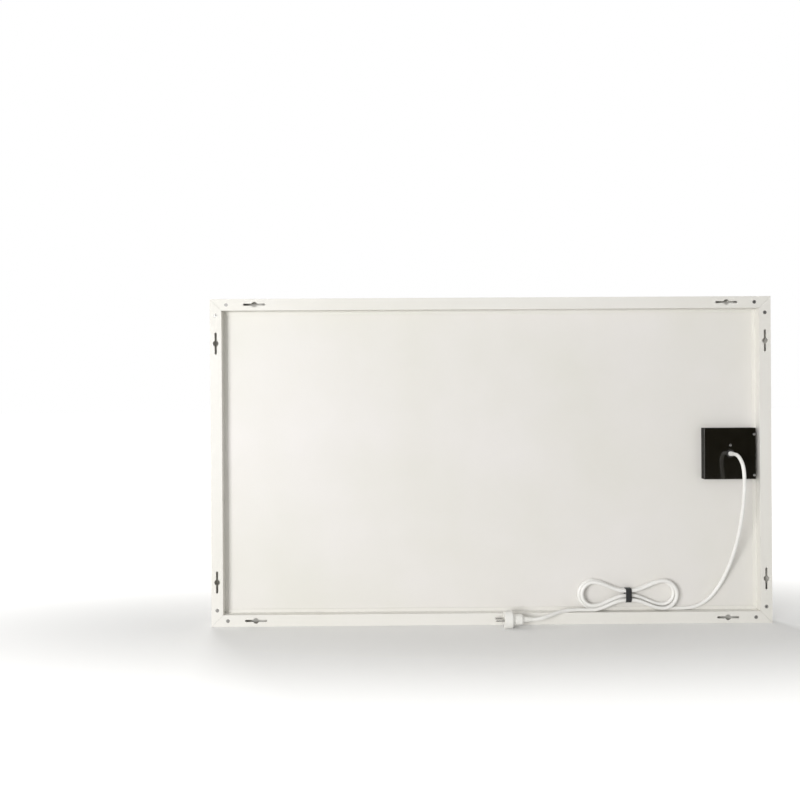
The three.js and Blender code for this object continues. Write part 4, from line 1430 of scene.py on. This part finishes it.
@dataclass
class Plug:
    """The white two-pin plug with side earth contacts, lying along X.

    The pairs are (radius, distance) points of its profile, in millimetres. The distance is from the
    cord's end, for a rib from the rib's start, and for the face's edge from the pins' face.
    """

    mouth: tuple[Pair, ...] = ((4.3, 0), (4.5, 0.3))
    sleeve_rib: tuple[Pair, ...] = ((4.6, 0), (4.0, 0.3), (4.05, 1.2), (4.72, 1.5))
    sleeve_starts: tuple[float, ...] = (2.6, 6.0, 9.4, 12.8)
    sleeve_swell: float = 0.09
    shoulder: tuple[Pair, ...] = ((6.2, 17), (9.4, 18.6), (10.6, 20.4))
    grip_rib: tuple[Pair, ...] = ((11.7, 0), (11.9, 0.9), (11.2, 1.3), (11.2, 2.0))
    grip_starts: tuple[float, ...] = (22.5, 25.1, 27.7, 30.3, 32.9)
    flare: tuple[Pair, ...] = (
        (12.2, 36.4), (14.2, 38.6), (17.3, 40.6), (18.3, 42), (18.5, 43.4),
    )
    face_edge: tuple[Pair, ...] = ((18.5, -1.4), (18.1, -0.4), (17.1, 0), (0, 0))
    body_steps: int = 96
    notch_half: float = 2.6 * MM
    notch_length: float = 12.6 * MM
    notch_depth: float = 1.4 * MM
    pin_nose: float = 0.7
    pin_nose_angles: tuple[int, ...] = tuple(range(0, 91, 15))
    pin_steps: int = 48
    contact_bow: float = 0.3 * MM
    contact_steps: int = 12
    contact_edge: float = 0.12 * MM
    contact_angle: float = math.radians(60)

    def profile(self, length: float) -> list[Pair]:
        """Gives the body's profile, from the cord's end to the pins' face.

        Args:
            length: The body's length.

        Returns:
            The (radius, height) points, in metres.
        """
        points = [*self.mouth]
        for start in self.sleeve_starts:
            swell = self.sleeve_swell * start
            points += [(radius + swell, start + along) for radius, along in self.sleeve_rib]
        points += self.shoulder
        for start in self.grip_starts:
            points += [(radius, start + along) for radius, along in self.grip_rib]
        points += self.flare
        points += [(radius, length / MM + along) for radius, along in self.face_edge]
        bore = [(0, BORE_DEPTH), (BORE_RADIUS, BORE_DEPTH), (BORE_RADIUS, 0)]
        return bore + [(radius * MM, height * MM) for radius, height in points]

    def build_body(self) -> bpy.types.Object:
        """Builds the body, cuts its flats and sinks the notches that the earth contacts lie in.

        Returns:
            The body.
        """
        low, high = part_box("plug_body")
        flat = (high.z - low.z) / 2
        bm = spun(self.profile(high.x - low.x), self.body_steps)
        for side in (-1, 1):
            geom = list(bm.verts) + list(bm.edges) + list(bm.faces)
            cut = bmesh.ops.bisect_plane(
                bm, geom=geom, dist=MERGE, plane_co=(side * flat, 0, 0), plane_no=(side, 0, 0),
                clear_outer=True,
            )
            bmesh.ops.contextual_create(bm, geom=picked(cut["geom_cut"], bmesh.types.BMEdge))
        put(bm, ALONG_X, end_middle("plug_body", "x", 0))
        bmesh.ops.recalc_face_normals(bm, faces=bm.faces)
        body = carved(bm, self.notches(low, high))
        return add_piece(body, "plug_shell", "white_plug", "plug_body")

    def notches(self, low: Vector, high: Vector) -> bmesh.types.BMesh:
        """Makes the blocks that cut the notch for the earth contact into each flat.

        Args:
            low: The body's lowest corner.
            high: Its highest corner.

        Returns:
            The blocks.
        """
        cutter = bmesh.new()
        half = (self.notch_length, self.notch_half, self.notch_depth)
        for z in (low.z, high.z):
            made = bmesh.ops.create_cube(cutter, size=2)["verts"]
            bmesh.ops.scale(cutter, vec=half, verts=made)
            bmesh.ops.translate(cutter, vec=(high.x, (low.y + high.y) / 2, z), verts=made)
        return cutter

    def build_pin(self, node: str, name: str) -> bpy.types.Object:
        """Builds one round pin in place of its node.

        Args:
            node: The node that it stands for.
            name: The piece's name.

        Returns:
            The pin.
        """
        low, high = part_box(node)
        radius, length = (high.z - low.z) / 2, high.x - low.x
        nose = [
            (radius * math.cos(turn), length - radius * self.pin_nose * (1 - math.sin(turn)))
            for turn in map(math.radians, self.pin_nose_angles)
        ]
        bm = spun([(0, 0), (radius, 0), *nose], self.pin_steps)
        put(bm, ALONG_X, end_middle(node, "x", 0))
        return add_piece(bm, name, "nickel_plate", node)

    def build_contact(self, node: str, name: str, outwards: float) -> bpy.types.Object:
        """Builds one earth contact, a spring strip that bows a little out of its notch.

        Args:
            node: The node that it stands for.
            name: The piece's name.
            outwards: 1 for the upper contact, -1 for the lower one.

        Returns:
            The contact.
        """
        low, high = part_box(node)
        size = high - low
        bm = bmesh.new()
        bmesh.ops.create_grid(bm, x_segments=self.contact_steps, y_segments=1, size=0.5)
        bmesh.ops.scale(bm, vec=(size.x, size.y, 1), verts=bm.verts)
        for vert in bm.verts:
            vert.co.z = outwards * self.contact_bow * math.cos(math.pi * vert.co.x / size.x)
        bmesh.ops.solidify(bm, geom=list(bm.faces), thickness=size.z - self.contact_bow)
        bmesh.ops.recalc_face_normals(bm, faces=bm.faces)
        heights = [vert.co.z for vert in bm.verts]
        bmesh.ops.translate(bm, vec=(0, 0, -(min(heights) + max(heights)) / 2), verts=bm.verts)
        round_edges(bm, self.contact_edge, angle=self.contact_angle)
        put(bm, Matrix.Identity(4), middle(node))
        return add_piece(bm, name, "nickel_plate", node)

    def build(self) -> list[bpy.types.Object]:
        """Builds the whole plug.

        Returns:
            Its pieces.
        """
        return [
            self.build_body(),
            self.build_pin("plug_pin_front", "pin_front"),
            self.build_pin("plug_pin_rear", "pin_rear"),
            self.build_contact("plug_earth_contact_lower", "earth_contact_lower", -1),
            self.build_contact("plug_earth_contact_upper", "earth_contact_upper", 1),
        ]


# ---- Studio ----


@dataclass(frozen=True)
class SoftLamp:
    """One square soft lamp: where it stands, its side in metres and its power in watts."""

    name: str
    place: Triple
    size: float
    power: float


@dataclass
class Studio:
    """A pale floor, soft light from both sides and the camera of the photograph's back view.

    The floor has a painted glow, seen by camera and shiny rays, that grows from near to far between
    its start and its end, in metres from the object's middle, and sooner along Y by its stretch.
    Kept low near the object, it leaves painted shade round the object's foot beside the real
    shadow.
    """

    lens: float = 35.0
    sensor: float = 36.0
    camera_place: Triple = (0.2037, 1.6789, 0.4821)
    camera_aside: float = math.radians(-0.302)
    camera_roll: float = math.radians(-0.354)
    lamps: tuple[SoftLamp, ...] = (
        SoftLamp("lamp_rear", place=(2.8, 4.2, 0.8), size=1.8, power=168),
        SoftLamp("lamp_front", place=(2.1, -4.9, 2.3), size=2.4, power=152),
    )
    lamp_target: Triple = (0.0, 0.0, 0.35)
    flag_size: Pair = (3.4, 1.3)
    flag_place: Triple = (-0.3, 2.2, 0.65)
    flag_colour: str = "141414"
    world_level: float = 0.45
    world_colour: str = "FBFAF8"
    background_colour: str = "FFFFFF"
    floor_half: float = 30.0
    floor_colour: str = "EDEDEC"
    # The painted glow: weak near the object, a painted shade round its foot, and white far off.
    glow_near: float = 0.06
    glow_far: float = 0.68
    glow_start: float = 0.3
    glow_end: float = 2.1
    glow_stretch: Triple = (1.0, 3.2, 1.0)

    def build_camera(self) -> None:
        """Builds the camera, fitted to the corners and keyholes that the photograph shows."""
        data = bpy.data.cameras.new("camera")
        data.lens, data.sensor_width = self.lens, self.sensor
        camera = bpy.data.objects.new("camera", data)
        camera.location = self.camera_place
        heading = Matrix.Rotation(math.pi + self.camera_aside, 3, "Z")
        level = Matrix.Rotation(math.pi / 2, 3, "X")
        roll = Matrix.Rotation(self.camera_roll, 3, "Z")
        camera.rotation_euler = (heading @ level @ roll).to_euler()
        bpy.context.scene.collection.objects.link(camera)
        bpy.context.scene.camera = camera

    def build_lamps(self) -> None:
        """Builds a soft lamp before the panel and one behind it, both towards its +X end."""
        for lamp in self.lamps:
            data = bpy.data.lights.new(lamp.name, "AREA")
            data.size, data.energy = lamp.size, lamp.power
            light = bpy.data.objects.new(lamp.name, data)
            light.location = lamp.place
            aim = Vector(self.lamp_target) - Vector(lamp.place)
            light.rotation_mode = "QUATERNION"
            light.rotation_quaternion = aim.to_track_quat("-Z", "Y")
            bpy.context.scene.collection.objects.link(light)

    @staticmethod
    def build_card(name: str, half: Pair, turn: Matrix, place: Vector) -> bpy.types.Object:
        """Builds one flat card of the stage.

        Args:
            name: Its name.
            half: Half its size along X and Y, before it is turned.
            turn: Its turn.
            place: Its middle.

        Returns:
            The card.
        """
        bm = bmesh.new()
        bmesh.ops.create_grid(bm, x_segments=1, y_segments=1, size=1)
        bmesh.ops.scale(bm, vec=(*half, 1), verts=bm.verts)
        put(bm, turn, place)
        mesh = bpy.data.meshes.new(name)
        bm.to_mesh(mesh)
        bm.free()
        made = bpy.data.objects.new(name, mesh)
        bpy.context.scene.collection.objects.link(made)
        return made

    def build_flag(self) -> None:
        """Builds the black card behind the camera, which only shiny faces see."""
        width, height = self.flag_size
        upright = Matrix.Rotation(math.pi / 2, 4, "X")
        flag = self.build_card("flag", (width / 2, height / 2), upright, Vector(self.flag_place))
        material, tree = new_material("flag_black_velvet")
        cloth = add_node(tree, "ShaderNodeBsdfDiffuse", inputs={"Color": linear(self.flag_colour)})
        add_node(tree, "ShaderNodeOutputMaterial", inputs={"Surface": cloth.outputs["BSDF"]})
        flag.data.materials.append(material)
        flag.visible_camera = flag.visible_diffuse = flag.visible_shadow = False

    @staticmethod
    def background_rays(tree: bpy.types.NodeTree) -> Socket:
        """Adds a switch for the rays that show the background: straight, mirrored or through glass.

        Args:
            tree: The node tree.

        Returns:
            1 for those rays, or else 0.
        """
        rays = add_node(tree, "ShaderNodeLightPath").outputs
        first = add_node(tree, "ShaderNodeMath", {"operation": "MAXIMUM"}, {
            0: rays["Is Camera Ray"], 1: rays["Is Glossy Ray"],
        })
        both = add_node(tree, "ShaderNodeMath", {"operation": "MAXIMUM"}, {
            0: first.outputs["Value"], 1: rays["Is Transmission Ray"],
        })
        return both.outputs["Value"]

    def build_world(self) -> None:
        """Builds the world: an even light, behind a plain white background."""
        world = bpy.data.worlds.new("studio")
        bpy.context.scene.world = world
        world.use_nodes = True
        tree = world.node_tree
        tree.nodes.clear()
        light = add_node(tree, "ShaderNodeBackground", inputs={
            "Color": linear(self.world_colour), "Strength": self.world_level,
        })
        white = add_node(tree, "ShaderNodeBackground", inputs={
            "Color": linear(self.background_colour),
        })
        both = add_node(tree, "ShaderNodeMixShader", inputs={
            0: self.background_rays(tree),
            1: light.outputs["Background"],
            2: white.outputs["Background"],
        })
        add_node(tree, "ShaderNodeOutputWorld", inputs={"Surface": both.outputs["Shader"]})

    def build_floor(self) -> None:
        """Builds the floor: pale, with painted glow to white away from the object and painted shade
        near it.
        """
        half = (self.floor_half, self.floor_half)
        floor = self.build_card("floor", half, Matrix.Identity(4), Vector())
        material, tree = new_material("floor_pale_paper")
        paper = add_node(tree, "ShaderNodeBsdfDiffuse", inputs={"Color": linear(self.floor_colour)})
        place = add_node(tree, "ShaderNodeTexCoord").outputs["Object"]
        wide = add_node(tree, "ShaderNodeMapping", inputs={
            "Vector": place, "Scale": self.glow_stretch,
        })
        away = add_node(tree, "ShaderNodeVectorMath", {"operation": "LENGTH"}, {
            0: wide.outputs["Vector"],
        })
        # Painted light: the glow is weak near the object and white far off, a painted shade round
        # its foot.
        glow_level = add_node(tree, "ShaderNodeMapRange", {"interpolation_type": "SMOOTHSTEP"}, {
            "Value": away.outputs["Value"], "From Min": self.glow_start, "From Max": self.glow_end,
            "To Min": self.glow_near, "To Max": self.glow_far,
        })
        shown = add_node(tree, "ShaderNodeMath", {"operation": "MULTIPLY"}, {
            0: self.background_rays(tree), 1: glow_level.outputs["Result"],
        })
        glow = add_node(tree, "ShaderNodeEmission", inputs={"Strength": shown.outputs["Value"]})
        both = add_node(tree, "ShaderNodeAddShader", inputs={
            0: paper.outputs["BSDF"], 1: glow.outputs["Emission"],
        })
        add_node(tree, "ShaderNodeOutputMaterial", inputs={"Surface": both.outputs["Shader"]})
        floor.data.materials.append(material)

    def build(self) -> None:
        """Builds the whole studio."""
        bpy.context.scene.view_settings.view_transform = "Standard"
        self.build_camera()
        self.build_lamps()
        self.build_flag()
        self.build_world()
        self.build_floor()
        log.info("studio built")


# ---- The whole heater ----


def main() -> None:
    """Builds the studio, the lead and then the rest of the heater."""
    logging.basicConfig(level=logging.INFO, format="%(message)s")
    Studio().build()
    lead = MainsLead()
    cord = lead.build()
    lead.declare([StrainRelief().build(), HankStrap().build(), *Plug().build()])
    PALETTE.dress_nodes({"back_plate": "tray_white"})
    panel = PanelFrame()
    panel.build_rails()
    panel.build_screws()
    box = JunctionBox()
    box.build_shells()
    box.build_screws()
    box.build_grommet()


if __name__ == "__main__":
    main()
